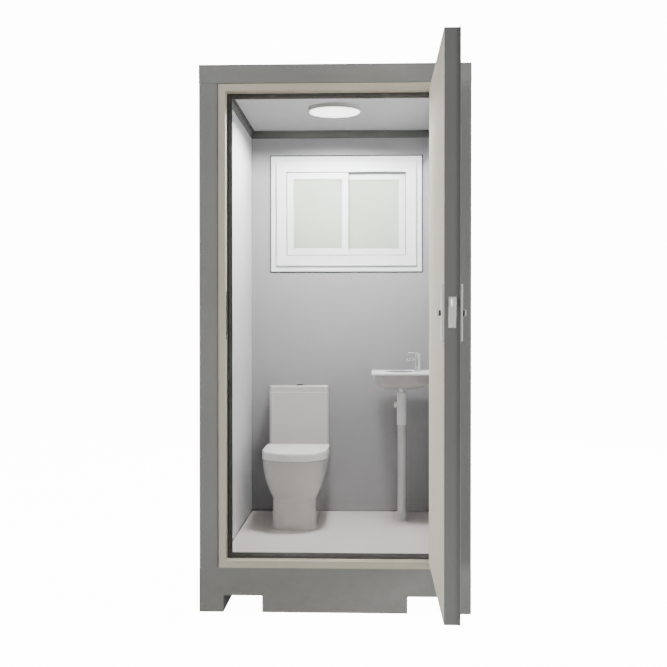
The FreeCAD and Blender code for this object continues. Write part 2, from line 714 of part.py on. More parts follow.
def make_leaf():
    """The insulated leaf, drawn shut with its hinges at +X, then turned open."""
    core_front, core_back = FRONT + SKIN, LEAF_INNER - SKIN
    middle = FRONT + LEAF_THICKNESS / 2
    edge_x = -LEAF_X
    lever_x = edge_x + BACKSET
    half = CASE_THICKNESS / 2
    face_half = FACEPLATE_WIDTH / 2
    face_low = LEVER_HEIGHT + FACEPLATE_RISE - FACEPLATE_HEIGHT / 2
    faceplate = box(
        edge_x, edge_x + FACEPLATE, middle - face_half, middle + face_half,
        face_low, face_low + FACEPLATE_HEIGHT,
    )
    case_low = face_low + (FACEPLATE_HEIGHT - CASE_HEIGHT) / 2
    case = box(
        edge_x + FACEPLATE, edge_x + CASE_DEPTH, middle - half, middle + half,
        case_low, case_low + CASE_HEIGHT,
    )
    shaft = rod_y(lever_x, FRONT - OVERCUT, LEAF_INNER + OVERCUT, LEVER_HEIGHT, SPINDLE_HOLE)
    latch_z = LEVER_HEIGHT + LATCH_RISE
    thick, tall = LATCH_THICKNESS / 2, LATCH_HEIGHT / 2
    channel = box(
        edge_x, edge_x + LATCH_TAIL + LATCH_THROW + OVERCUT, middle - thick - FIT, middle + thick + FIT,
        latch_z - tall - FIT, latch_z + tall + FIT,
    )
    outer = box(
        edge_x - LEAF_LIP, LEAF_X + LEAF_LIP, FRONT, core_front, LEAF_BOTTOM - LEAF_LIP, LEAF_TOP + LEAF_LIP
    )
    inner = box(edge_x, LEAF_X, core_back, LEAF_INNER, LEAF_BOTTOM, LEAF_TOP)
    edge = rectangle(core_front, core_back, 0, EDGE_WIDTH)
    low, hinge_side, high, lock_side = mitred_ring(edge_x, LEAF_X, LEAF_BOTTOM, LEAF_TOP, edge, upright)
    core = box(
        edge_x + EDGE_WIDTH, LEAF_X - EDGE_WIDTH, core_front, core_back,
        LEAF_BOTTOM + EDGE_WIDTH, LEAF_TOP - EDGE_WIDTH,
    )
    export("door_outer_skin", *opened(cut(outer, shaft)))
    export("door_inner_skin", *opened(cut(inner, shaft)))
    export("door_edge_frame", *opened(low, hinge_side, high, cut(lock_side, faceplate, case)))
    export("door_core", *opened(cut(core, case, shaft)))
    export("lock_case", *opened(cut(case, shaft, channel)))
    export("lock_faceplate", *opened(cut(faceplate, channel)))

    tip, tail = edge_x - LATCH_THROW, edge_x + LATCH_TAIL
    near, far = middle - thick, middle + thick
    nose = [
        (tip, near + LATCH_EASE), (tip, near + LATCH_NOSE), (edge_x, far), (tail, far), (tail, near),
        (tip + LATCH_EASE, near),
    ]
    bolt = prism([(x, y, latch_z - tall) for x, y in nose], (0, 0, LATCH_HEIGHT))
    export("latch_bolt", *opened(bolt))
    make_levers(lever_x)


def make_levers(lever_x):
    wide = BACKPLATE_WIDTH / 2
    tall = BACKPLATE_HEIGHT / 2
    plates, collars, levers = [], [], []
    square = SPINDLE / 2
    reach = BACKPLATE + COLLAR_LENGTH + LEVER_THICKNESS
    spindle = box(
        lever_x - square, lever_x + square, FRONT - reach + SPINDLE_SHORT, LEAF_INNER + reach - SPINDLE_SHORT,
        LEVER_HEIGHT - square, LEVER_HEIGHT + square,
    )
    for face, out in ((FRONT, -1), (LEAF_INNER, 1)):
        def across(x0, x1, d0, d1, z0, z1):
            y0, y1 = sorted((face + out * d0, face + out * d1))
            return box(x0, x1, y0, y1, z0, z1)

        plate = across(
            lever_x - wide, lever_x + wide, 0, BACKPLATE, LEVER_HEIGHT - tall, LEVER_HEIGHT + tall
        )
        plate = round_edges(plate, BACKPLATE_CORNER, lambda e: e.BoundBox.YLength > BACKPLATE - 1e-3)
        outer_y = face + out * BACKPLATE
        rim = [e for e in plate.Edges if abs(e.BoundBox.YMin - outer_y) < 1e-3 and e.BoundBox.YLength < 1e-3]
        plate = plate.makeChamfer(BACKPLATE_EASE, rim)
        d0, d1 = sorted((face + out * COLLAR_SEAT, face + out * (BACKPLATE + COLLAR_LENGTH)))
        collar = rod_y(lever_x, d0, d1, LEVER_HEIGHT, COLLAR_RADIUS)
        seat = rod_y(lever_x, face - BACKPLATE, face + BACKPLATE, LEVER_HEIGHT, COLLAR_RADIUS + COLLAR_PLAY)
        plates.append(cut(plate, seat))
        collars.append(cut(collar, spindle))
        near, far = BACKPLATE + COLLAR_LENGTH, reach
        end = LEVER_WIDTH / 2
        bar = across(
            lever_x - end, lever_x + LEVER_LENGTH, near, far, LEVER_HEIGHT - end, LEVER_HEIGHT + end
        )
        bar = round_edges(bar, end - LEVER_END_FLAT, lambda e: e.BoundBox.YLength > LEVER_THICKNESS - 1e-3)
        levers.append(cut(bar, spindle))
    export("backplates", *opened(*plates))
    export("lever_collars", *opened(*collars))
    export("door_levers", *opened(*levers))
    export("spindle", *opened(spindle))


def make_window():
    """Two sashes that slide past each other in an E-shaped frame, one track each."""
    room_face = ROOM_BACK - WINDOW_PROUD
    track = SASH_THICKNESS + 2 * SASH_PLAY
    first = room_face + TRACK_LIP
    second = first + track + TRACK_LIP
    last = second + track
    outer_face = last + TRACK_LIP
    panel_face = BACK - POST_SIZE + WALL_PANEL
    x0, x1 = WINDOW_X - WINDOW_WIDTH / 2, WINDOW_X + WINDOW_WIDTH / 2
    z0, z1 = WINDOW_Z - WINDOW_HEIGHT / 2, WINDOW_Z + WINDOW_HEIGHT / 2
    section = [
        (room_face, 0), (room_face, WINDOW_LIP), (first, WINDOW_LIP), (first, WINDOW_WEB),
        (first + track, WINDOW_WEB), (first + track, WINDOW_LIP), (second, WINDOW_LIP), (second, WINDOW_WEB),
        (last, WINDOW_WEB), (last, WINDOW_LIP), (outer_face, WINDOW_LIP), (outer_face, WINDOW_FLANGE),
        (panel_face + OUTER_TRIM, WINDOW_FLANGE), (panel_face + OUTER_TRIM, 0),
    ]
    export("window_frame", *mitred_ring(x0, x1, z0, z1, section, upright))

    w = CASING_BAND
    band = rectangle(ROOM_BACK - CASING_PROUD, ROOM_BACK, 0, w)
    inner = mitred_ring(x0 - w, x1 + w, z0 - w, z1 + w, band, upright)
    band = [
        (panel_face, 0), (panel_face, OUTER_TRIM_WIDTH), (panel_face + OUTER_TRIM, OUTER_TRIM_WIDTH),
        (panel_face + OUTER_TRIM, OUTER_TRIM_EASE), (panel_face + OUTER_TRIM - OUTER_TRIM_EASE, 0),
    ]
    w = OUTER_TRIM_WIDTH
    outer = mitred_ring(x0 - w, x1 + w, z0 - w, z1 + w, band, upright)
    export("window_casings", *inner, *outer)

    low, high = z0 + WINDOW_WEB + SASH_LIFT, z1 - WINDOW_LIP + SASH_BITE
    meeting = WINDOW_X + MEETING_SHIFT
    left = (x0 + WINDOW_LIP - SASH_BITE, meeting, SASH_STILE + SASH_BITE, SASH_STILE)
    right = (meeting - SASH_STILE, x1 - WINDOW_LIP + SASH_BITE, SASH_STILE, SASH_STILE + SASH_BITE)
    for name, (sx0, sx1, stile0, stile1), front in (("left", left, first), ("right", right, second)):
        y0 = front + SASH_PLAY
        y1 = y0 + SASH_THICKNESS
        rail_low, rail_high = low + SASH_BITE + SASH_RAIL, high - SASH_BITE - SASH_RAIL
        g0, g1 = y0 + (SASH_THICKNESS - GLASS) / 2, y0 + (SASH_THICKNESS + GLASS) / 2
        pane = box(
            sx0 + stile0 - GLASS_BITE, sx1 - stile1 + GLASS_BITE, g0, g1,
            rail_low - GLASS_BITE, rail_high + GLASS_BITE,
        )
        stiles = [box(sx0, sx0 + stile0, y0, y1, low, high), box(sx1 - stile1, sx1, y0, y1, low, high)]
        rails = [
            box(sx0 + stile0, sx1 - stile1, y0, y1, low, rail_low),
            box(sx0 + stile0, sx1 - stile1, y0, y1, rail_high, high),
        ]
        export(name + "_sash", *[cut(member, pane) for member in stiles + rails])
        export(name + "_glass", pane)


def make_pan():
    back = ROOM_BACK - PAN_WALL_GAP
    front = ROOM_BACK - TOILET_DEPTH
    top = FLOOR_Z + PAN_HEIGHT
    crease = FLOOR_Z + FOOT_HEIGHT
    rise = top - crease
    hole_y = front + RIM_WIDTH + BOWL_HOLE_LONG

    def section(t):
        """The outline at a share t of the height from the crease to the rim: steep below, upright above."""
        swell = math.sin(t * math.pi / 2) ** BOWL_SWELL
        half = FOOT_HALF + (BOWL_HALF - FOOT_HALF) * swell
        nose = FOOT_NOSE + (BOWL_NOSE - FOOT_NOSE) * swell
        tip = front + FOOT_SETBACK * (1 - swell)
        return nosed(TOILET_X, tip, nose, back, crease + t * rise, half)

    foot = slab(nosed(TOILET_X, front + FOOT_SETBACK, FOOT_NOSE, back, FLOOR_Z, FOOT_HALF), FOOT_HEIGHT)
    swelling = loft([section(t) for t in (0, 0.08, 0.18, 0.3, 0.44, 0.6, 0.78, 1.0)], True)
    pan = fuse(foot, swelling)
    # Each ring of the hollow: its share of the hole's size, of the depth, and of the shift to the outlet.
    rings = (
        (1.0, 0.0, 0.0), (0.97, 0.2, 0.08), (0.9, 0.42, 0.24), (0.76, 0.66, 0.48), (0.52, 0.87, 0.8),
        (0.34, 1.0, 1.0),
    )
    hollow = loft(
        [
            oval(
                TOILET_X, hole_y + BOWL_SHIFT * back_share, top - BOWL_DEPTH * down,
                BOWL_HOLE_HALF * share, BOWL_HOLE_LONG * share,
            )
            for share, down, back_share in rings
        ],
        True,
    )
    # The pedestal is open below: room in the foot, and behind the bowl round the outlet's column.
    w = PAN_WALL
    foot_room = slab(
        nosed(TOILET_X, front + FOOT_SETBACK + w, FOOT_NOSE - w, back - w, FLOOR_Z, FOOT_HALF - w),
        top - BOWL_DEPTH - w - FLOOR_Z,
    )
    behind = hole_y + BOWL_HOLE_LONG + 2 * w
    half = FOOT_HALF - w
    rear_room = box(TOILET_X - half, TOILET_X + half, behind, back - w, FLOOR_Z, top - 3 * w)
    soil_y = ROOM_BACK - SOIL_FROM_WALL
    socket = rod(TOILET_X, soil_y, FLOOR_Z, FLOOR_Z + SOIL_SOCKET, SOIL_RADIUS + PIPE_PLAY)
    column = rod(TOILET_X, soil_y, FLOOR_Z, top, SOIL_RADIUS + w)
    export("toilet_pan", cut(pan, cut(fuse(foot_room, rear_room), column), hollow, socket))
    pipe_top = FLOOR_Z + SOIL_SOCKET - SOIL_END_GAP
    pipe = cut(
        rod(TOILET_X, soil_y, PIPE_END, pipe_top, SOIL_RADIUS),
        rod(TOILET_X, soil_y, PIPE_END, pipe_top, SOIL_RADIUS - SOIL_WALL),
    )
    export("soil_pipe", pipe)
    make_seat(front, top)


def make_seat(front, top):
    """A seat ring and a lid that wraps over it, both on the pins of two posts."""
    x, axis_y, axis_z = TOILET_X, ROOM_BACK - SEAT_HINGE_FROM_WALL, top + SEAT_HINGE_RISE
    lid_front, lid_half = front - LID_OVERHANG, BOWL_HALF + LID_OVERHANG
    lid_low, lid_high = top + LID_SKIRT_GAP, top + LID_SKIRT_GAP + LID_HEIGHT
    inset = LID_WALL + LID_PLAY
    bore = SEAT_PIN_RADIUS + PIN_CLEARANCE
    posts, seat_lugs, lid_lugs, seat_arms, lid_arms = [], [], [], [], []
    for side in (-1, 1):
        middle = x + side * SEAT_LUG_SPREAD
        pin = rod_x(middle - 1.5 * SEAT_LUG, middle + 1.5 * SEAT_LUG, axis_y, axis_z, SEAT_PIN_RADIUS)
        half = SEAT_LUG / 2 - FIT
        stem = fuse(
            rod_x(middle - half, middle + half, axis_y, axis_z, SEAT_LUG_RADIUS),
            rod(middle, axis_y, top, axis_z, SEAT_POST_RADIUS),
            pin,
        )
        posts.append(stem)
        seat_x = middle - side * SEAT_LUG
        lid_x = middle + side * SEAT_LUG
        seat_lugs.append(rod_x(seat_x - half, seat_x + half, axis_y, axis_z, SEAT_LUG_RADIUS))
        lid_lugs.append(rod_x(lid_x - half, lid_x + half, axis_y, axis_z, SEAT_LUG_RADIUS))
        arm_low, arm_high = axis_z - SEAT_ARM_HALF, axis_z + SEAT_ARM_HALF
        seat_arms.append(box(seat_x - half, seat_x + half, axis_y - SEAT_ARM, axis_y, arm_low, arm_high))
        arm_high = lid_high - LID_EASE
        lid_arms.append(box(lid_x - half, lid_x + half, axis_y, axis_y + LID_BACK, axis_z, arm_high))
    export("seat_hinge_posts", *posts)

    seat_low, seat_high = top + SEAT_STAND, top + SEAT_STAND + SEAT_THICKNESS
    seat_back = axis_y - SEAT_BACK_GAP
    outline = nosed(x, lid_front + inset, BOWL_NOSE - inset, seat_back, seat_low, lid_half - inset)
    ring = slab(outline, SEAT_THICKNESS)
    hole_y = front + RIM_WIDTH + BOWL_HOLE_LONG
    hole_half = lid_half - inset - SEAT_RING
    hole = slab(oval(x, hole_y, seat_low, hole_half, BOWL_HOLE_LONG - SEAT_HOLE_SHORTER), SEAT_THICKNESS)
    ring = cut(ring, hole)
    ring = ease_edges(ring, SEAT_EASE, lambda e: at_height(e, seat_high))
    near, far = front + BUFFER_FROM_NOSE, axis_y - BUFFER_FROM_HINGE
    places = []
    for side in (-1, 1):
        places.append((x + side * (BOWL_HALF - BUFFER_FRONT_INSET), near))
        places.append((x + side * (BOWL_HALF - BUFFER_REAR_INSET), far))
    pads = [rod(px, py, top + FIT, seat_low, BUFFER_RADIUS) for px, py in places]
    pins = [rod_x(p.BoundBox.XMin - FIT, p.BoundBox.XMax + FIT, axis_y, axis_z, bore) for p in seat_lugs]
    export("toilet_seat", cut(fuse(ring, *pads, *seat_arms, *seat_lugs), *pins))

    lid_back = axis_y + LID_BACK
    shell = slab(nosed(x, lid_front, BOWL_NOSE, lid_back, lid_low, lid_half), LID_HEIGHT)
    shell = ease_edges(shell, LID_EASE, lambda e: at_height(e, lid_high))
    w = LID_WALL
    hollow = slab(
        nosed(x, lid_front + w, BOWL_NOSE - w, lid_back - w, lid_low, lid_half - w), LID_HEIGHT - LID_TOP
    )
    under = lid_low + LID_HEIGHT - LID_TOP
    pads = [rod(px, py, seat_high + FIT, under, BUFFER_RADIUS) for px, py in places]
    pins = [rod_x(p.BoundBox.XMin - FIT, p.BoundBox.XMax + FIT, axis_y, axis_z, bore) for p in lid_lugs]
    # The back is open round the hinge posts, and its corners clear the pan as the lid swings.
    inner = lid_half - w
    swing_y = axis_y - LID_SWING
    swing = box(x - lid_half, x + lid_half, swing_y, lid_back, lid_low, axis_z - SEAT_LUG_RADIUS)
    over = axis_z + SEAT_LUG_RADIUS + LID_LUG_GAP
    hinge_room = box(x - inner, x + inner, swing_y, lid_back, lid_low, over)
    shell = cut(shell, hollow, swing, hinge_room)
    export("toilet_lid", cut(fuse(shell, *pads, *lid_arms, *lid_lugs), *pins))


def make_cistern():
    x = TOILET_X
    half = CISTERN_WIDTH / 2
    back = ROOM_BACK - PAN_WALL_GAP
    front = back - CISTERN_DEPTH
    seat = FLOOR_Z + PAN_HEIGHT
    low = seat + CISTERN_BOSS
    high = low + CISTERN_HEIGHT
    w = CISTERN_WALL
    middle = (front + back) / 2
    tank = round_edges(box(x - half, x + half, front, back, low, high), CISTERN_CORNER, vertical)
    tank = ease_edges(tank, CISTERN_EASE, lambda e: at_height(e, high))
    inside = round_edges(
        box(x - half + w, x + half - w, front + w, back - w, low + w, high), CISTERN_CORNER - w, vertical
    )
    boss = rod(x, middle, seat, low, CISTERN_BOSS_RADIUS)
    export("cistern", cut(fuse(tank, boss), inside))

    i = CISTERN_LID_INSET
    top = high + CISTERN_LID
    cover = round_edges(box(x - half + i, x + half - i, front + i, back, high, top), CISTERN_CORNER, vertical)
    cover = ease_edges(cover, CISTERN_LID_EASE, lambda e: at_height(e, top))
    ring_out = BUTTON_RADIUS + BUTTON_PLAY + BUTTON_RING
    under = top - CISTERN_LID_TOP
    hollow = round_edges(
        box(x - half + w, x + half - w, front + w, back - w, high, under), CISTERN_CORNER - w, vertical
    )
    export("cistern_lid", cut(cover, hollow, rod(x, middle, high, top, ring_out)))
    bore = BUTTON_RADIUS + BUTTON_PLAY
    proud = top + RING_PROUD
    flange = fuse(rod(x, middle, under, top, ring_out), rod(x, middle, top, proud, ring_out + RING_FLANGE))
    export("flush_button_ring", cut(flange, rod(x, middle, under, proud, bore)))
    face = top + BUTTON_PROUD
    disc = revolve_z(
        x, middle,
        [
            (0, face - BUTTON_DEPTH), (BUTTON_RADIUS, face - BUTTON_DEPTH),
            (BUTTON_RADIUS, face - BUTTON_EASE), (BUTTON_RADIUS - BUTTON_EASE, face), (0, face),
        ],
    )
    gap = BUTTON_SPLIT / 2
    half_room = box(x + gap, x + 2 * bore, middle - bore, middle + bore, high, top + 2 * BUTTON_PROUD)
    right = disc.common(half_room)
    export("flush_button_full", right)
    export("flush_button_half", mirrored_x(right, x))

    floor = low + w
    tower = revolve_z(
        x, middle,
        [
            (0, floor), (VALVE_BASE_RADIUS, floor), (VALVE_RADIUS, floor + VALVE_BASE),
            (VALVE_RADIUS, high - VALVE_NECK), (VALVE_NECK_RADIUS, high - VALVE_NECK),
            (VALVE_NECK_RADIUS, high), (0, high),
        ],
    )
    float_top = high - FILL_DROP
    float_low = float_top - FILL_FLOAT
    fill = revolve_z(
        x - FILL_OFFSET, middle,
        [
            (0, floor), (FILL_STEM_RADIUS, floor), (FILL_STEM_RADIUS, float_low),
            (FILL_FLOAT_RADIUS, float_low), (FILL_FLOAT_RADIUS, float_top), (0, float_top),
        ],
    )
    export("cistern_valves", tower, fill)


def make_basin():
    wall = ROOM_X
    top = FLOOR_Z + BASIN_TOP
    low = top - BASIN_RIM
    half = BASIN_WIDTH / 2
    waste_x = wall - WASTE_FROM_WALL
    room_side = wall - OVERCUT
    rim = box(wall - BASIN_PROJECTION, wall, BASIN_Y - half, BASIN_Y + half, low, top)
    rim = round_edges(rim, BASIN_FRONT_CORNER, lambda e: vertical(e) and e.BoundBox.XMin < room_side)
    rim = round_edges(rim, BASIN_WALL_CORNER, lambda e: vertical(e) and e.BoundBox.XMin > room_side)
    rim = ease_edges(rim, BASIN_EASE, lambda e: at_height(e, top) and e.BoundBox.XMin < room_side)
    under_x = BASIN_PROJECTION - WASTE_FROM_WALL - BASIN_UNDERCUT
    under_y = half - BASIN_UNDERCUT
    depth = BASIN_DEPTH - BASIN_RIM
    shares = (
        (1.0, 0.0, 0.76), (0.975, 0.3, 0.75), (0.94, 0.56, 0.74), (0.89, 0.76, 0.73), (0.82, 0.91, 0.71),
        (0.7, 1.0, 0.68),
    )
    belly = loft(
        [oval(waste_x, BASIN_Y, low - depth * d, under_x * s, under_y * s, full) for s, d, full in shares],
        True,
    )
    bowl_x = wall - BOWL_FROM_WALL
    shares = ((1.0, 0.0), (0.98, 0.2), (0.93, 0.48), (0.83, 0.73), (0.64, 0.92), (0.42, 1.0))
    hollow = loft(
        [
            oval(
                bowl_x + (waste_x - bowl_x) * d, BASIN_Y, top - BASIN_HOLE_DEPTH * d,
                BASIN_HOLE_X * s, BASIN_HOLE_Y * s, BASIN_HOLE_FULLNESS,
            )
            for s, d in shares
        ],
        True,
    )
    drain = rod(waste_x, BASIN_Y, low - depth - OVERCUT, top, WASTE_BODY + FIT)
    tap_x = wall - TAP_FROM_WALL
    tap_hole = rod(tap_x, BASIN_Y, low - depth, top, TAP_SHANK + FIT)
    export("basin", cut(fuse(rim, belly), hollow, drain, tap_hole))

    floor = top - BASIN_HOLE_DEPTH
    under = low - depth
    trap_top = FLOOR_Z + TRAP_TOP
    nut, tail = under - WASTE_NUT, trap_top - TAIL_SOCKET
    flange = [
        (0, floor + WASTE_PROUD), (WASTE_FLANGE - WASTE_PROUD, floor + WASTE_PROUD), (WASTE_FLANGE, floor),
        (WASTE_BODY, floor), (WASTE_BODY, nut), (TAIL_RADIUS, nut), (TAIL_RADIUS, tail), (0, tail),
    ]
    export("basin_waste", revolve_z(waste_x, BASIN_Y, flange))

    trap_low = trap_top - TRAP_HEIGHT
    cap_z = trap_top - CAP_DROP
    shoulder = waste_x - TRAP_RADIUS - CAP_STEP
    drain_top = trap_low + DRAIN_SOCKET
    body = fuse(
        rod(waste_x, BASIN_Y, trap_low, trap_top, TRAP_RADIUS),
        rod_x(shoulder, waste_x, BASIN_Y, cap_z, CAP_RADIUS - CAP_STEP),
    )
    body = cut(
        body,
        rod(waste_x, BASIN_Y, tail, trap_top, TAIL_RADIUS + FIT),
        rod(waste_x, BASIN_Y, trap_low, drain_top, DRAIN_RADIUS + FIT),
    )
    cap = rod_x(shoulder - CAP_LENGTH, shoulder, BASIN_Y, cap_z, CAP_RADIUS)
    cap = cap.makeChamfer(CAP_STEP, [e for e in cap.Edges if e.BoundBox.XMax < shoulder - CAP_LENGTH + 1e-3])
    export("bottle_trap", body, cap)
    pipe = cut(
        rod(waste_x, BASIN_Y, PIPE_END, drain_top, DRAIN_RADIUS),
        rod(waste_x, BASIN_Y, PIPE_END, drain_top, DRAIN_RADIUS - DRAIN_WALL),
    )
    inner, collar_top = DRAIN_RADIUS + FIT, FLOOR_Z + COLLAR_HEIGHT
    collar = revolve_z(
        waste_x, BASIN_Y,
        [
            (inner, FLOOR_Z), (COLLAR_OUTER, FLOOR_Z), (COLLAR_OUTER, collar_top - COLLAR_EASE),
            (COLLAR_OUTER - COLLAR_EASE, collar_top), (inner, collar_top),
        ],
    )
    export("drain_pipe", pipe, collar)
    make_tap(tap_x, top)


def make_tap(x, deck):
    y = BASIN_Y
    top = deck + TAP_BODY
    body = rod(x, y, deck, top, TAP_RADIUS)
    body = fuse(body, rod(x, y, deck - TAP_SHANK_LENGTH, deck, TAP_SHANK))
    spout_z = top - SPOUT_RADIUS
    spout = rod_x(x - TAP_SPOUT, x, y, spout_z, SPOUT_RADIUS)
    nozzle = rod(x - TAP_SPOUT, y, spout_z - TAP_NOZZLE, spout_z, SPOUT_RADIUS)
    knee = Part.makeSphere(SPOUT_RADIUS, Vector(x - TAP_SPOUT, y, spout_z))
    export("tap_body", fuse(body, spout, nozzle, knee))

    low = top + FIT
    high = low + TAP_HEAD
    head = revolve_z(
        x, y,
        [
            (0, low), (TAP_RADIUS, low), (TAP_RADIUS, high - TAP_EASE),
            (TAP_RADIUS - TAP_EASE, high), (0, high),
        ],
    )
    slot_half = TAP_LEVER_WIDTH / 2 + FIT
    slot = box(
        x - TAP_RADIUS - OVERCUT, x + TAP_SLOT_BACK, y - slot_half, y + slot_half,
        high - TAP_SLOT, high + OVERCUT,
    )
    pivot_z = high - TAP_PIVOT_DROP
    reach = slot_half + TAP_PIVOT_BITE
    pin = rod_y(x, y - reach, y + reach, pivot_z, TAP_PIVOT_RADIUS)
    export("tap_head", fuse(cut(head, slot), pin))

    arm_z = high + TAP_LEVER_GAP
    half = TAP_LEVER_WIDTH / 2
    arm = box(
        x - TAP_LEVER_LENGTH, x + TAP_ROOT, y - half, y + half, arm_z, arm_z + TAP_LEVER_THICKNESS
    )
    arm = round_edges(arm, half - FIT, lambda e: vertical(e) and e.BoundBox.XMax < x)
    root = fuse(
        rod_y(x, y - half, y + half, pivot_z, TAP_ROOT),
        box(x - TAP_ROOT, x + TAP_ROOT, y - half, y + half, pivot_z, arm_z),
    )
    bore = rod_y(x, y - half, y + half, pivot_z, TAP_PIVOT_RADIUS + PIN_CLEARANCE)
    export("tap_lever", cut(fuse(arm, root), bore))


def make_light():
    x, y = LIGHT_X, FRONT + LIGHT_FROM_DOOR
    low = CEILING_Z - LIGHT_BODY
    plate = rod(x, y, low, CEILING_Z, LIGHT_RADIUS)
    radius = LIGHT_RADIUS - LIGHT_RIM
    recess = rod(x, y, low, low + LENS_SEAT, radius + FIT)
    export("light_base", cut(plate, recess))
    bottom = low - LENS_DEPTH
    seat = low + LENS_SEAT
    drum = [
        (0, seat), (radius, seat), (radius, bottom + LENS_EDGE),
        (radius - LENS_EDGE, bottom), (0, bottom - LENS_DOME),
    ]
    export("light_diffuser", revolve_z(x, y, drum))


os.makedirs("parts", exist_ok=True)
make_base()
make_upper_frame()
make_walls()
make_floor_and_ceiling()
make_door_frame()
make_hinges()
make_leaf()
make_window()
make_pan()
make_cistern()
make_basin()
make_light()
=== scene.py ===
# %% [markdown]
# # A toilet cabin
# The solids come from the CAD side in metres, with +Z up and the ground at zero. They carry every size. What is left
# to do here is to ease the hard edges, add the small fittings, and give each surface the finish it has in real life.

# %% Load the solids
import json
import math

import bmesh
import bpy
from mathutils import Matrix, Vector
from mathutils.bvhtree import BVHTree


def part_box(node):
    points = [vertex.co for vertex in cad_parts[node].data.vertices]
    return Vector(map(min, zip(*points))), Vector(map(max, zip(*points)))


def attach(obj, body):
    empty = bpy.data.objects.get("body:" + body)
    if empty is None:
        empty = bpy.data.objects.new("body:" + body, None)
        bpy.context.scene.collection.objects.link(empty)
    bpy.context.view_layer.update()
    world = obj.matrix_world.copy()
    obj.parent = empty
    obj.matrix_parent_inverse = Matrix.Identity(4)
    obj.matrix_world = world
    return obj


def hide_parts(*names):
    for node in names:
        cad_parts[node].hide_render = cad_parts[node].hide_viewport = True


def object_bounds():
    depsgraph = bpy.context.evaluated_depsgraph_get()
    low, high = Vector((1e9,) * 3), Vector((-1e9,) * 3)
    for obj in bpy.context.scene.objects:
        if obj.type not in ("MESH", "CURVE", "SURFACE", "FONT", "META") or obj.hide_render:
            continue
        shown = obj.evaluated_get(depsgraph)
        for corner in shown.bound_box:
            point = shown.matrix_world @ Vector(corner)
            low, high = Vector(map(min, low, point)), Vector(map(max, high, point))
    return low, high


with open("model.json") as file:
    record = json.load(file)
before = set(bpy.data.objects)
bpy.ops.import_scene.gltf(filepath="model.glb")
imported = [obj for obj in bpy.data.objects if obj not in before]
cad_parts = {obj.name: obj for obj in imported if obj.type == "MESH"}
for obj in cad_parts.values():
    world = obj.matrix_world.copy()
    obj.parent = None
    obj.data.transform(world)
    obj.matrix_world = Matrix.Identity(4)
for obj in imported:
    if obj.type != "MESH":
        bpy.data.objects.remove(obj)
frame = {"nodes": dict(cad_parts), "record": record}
cad_box = [[float(c) for c in corner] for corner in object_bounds()]
nodes = frame["nodes"]
body_of_node = {node: body for body, group in frame["record"]["behaviour"]["bodies"].items() for node in group}
slot_of_node = {part["node"]: part["material_slot"] for part in frame["record"]["subparts"]}

# %% [markdown]
# ## The camera
# The picture is taken a little right of the middle, at chest height, from about five metres in front. A long lens at
# that distance keeps the posts nearly parallel. Turning the camera with a direction is easier to check than three
# angles: the middle of the frame lies where the direction points.

# %% Camera
LENS = 56.96
EYE = (0.174, -5.496, 1.318)
HEADING, TILT = math.radians(-2.136), math.radians(-0.515)
camera = bpy.data.objects.new("camera", bpy.data.cameras.new("camera"))
bpy.context.collection.objects.link(camera)
camera.data.lens = LENS
camera.location = EYE
look = Vector((math.sin(HEADING) * math.cos(TILT), math.cos(HEADING) * math.cos(TILT), math.sin(TILT)))
camera.rotation_euler = look.to_track_quat("-Z", "Y").to_euler()
bpy.context.scene.camera = camera
print("camera looks along", [round(c, 3) for c in look])

# %% [markdown]
# ## Floor and studio light
# A white sweep, floor and walls in one sheet, has no line where they meet. It starts as one square whose edges are
# drawn up, and each bend is a bevel on a fold. The sheet glows like a lit paper ground, and its light stays off the
# cabin, as it does when a ground is lit from behind.
#
# The sky lights all faces weakly and evenly. Panels far to the left and right graze the front, so they lift the frame
# and the door but leave the room to its own lamp. One panel behind does the same for the rear, and a small card in
# front gives the chrome something to mirror. The ceiling lamp is a spot that opens almost flat, so the walls stay dim
# above it, and a small spot over the door washes the rear wall round the window.

# %% The sweep
SWEEP_HALF, SWEEP_HEIGHT = 30.0, 20.0
BEND, BEND_STEPS = 7.0, 16
PAPER, PAPER_ROUGHNESS, PAPER_GLOW = (0.9, 0.9, 0.9), 0.9, 14.0


def verts_in(made):
    """The vertices among what an operator made."""
    return [item for item in made if isinstance(item, bmesh.types.BMVert)]


bm = bmesh.new()
bmesh.ops.create_grid(bm, x_segments=1, y_segments=1, size=SWEEP_HALF)
made = bmesh.ops.extrude_edge_only(bm, edges=bm.edges[:])["geom"]
bmesh.ops.translate(bm, verts=verts_in(made), vec=(0, 0, SWEEP_HEIGHT))
folds = [e for e in bm.edges if len(e.link_faces) == 2]
bmesh.ops.bevel(bm, geom=folds, offset=BEND, segments=BEND_STEPS, profile=0.5, affect="EDGES", material=-1)
bmesh.ops.recalc_face_normals(bm, faces=bm.faces)
sweep_mesh = bpy.data.meshes.new("sweep")
bm.to_mesh(sweep_mesh)
bm.free()
sweep_mesh.polygons.foreach_set("use_smooth", [True] * len(sweep_mesh.polygons))

paper = bpy.data.materials.new("sweep_white")
paper.use_nodes = True
shader = paper.node_tree.nodes["Principled BSDF"]
shader.inputs["Base Color"].default_value = (*PAPER, 1)
shader.inputs["Roughness"].default_value = PAPER_ROUGHNESS
shader.inputs["Emission Color"].default_value = (1, 1, 1, 1)
shader.inputs["Emission Strength"].default_value = PAPER_GLOW
sweep_mesh.materials.append(paper)

sweep = bpy.data.objects.new("sweep", sweep_mesh)
bpy.context.collection.objects.link(sweep)
sweep.visible_diffuse = False
sweep.visible_glossy = False
sweep.visible_transmission = False
sweep.visible_shadow = False
print("sweep of", len(sweep_mesh.polygons), "faces")

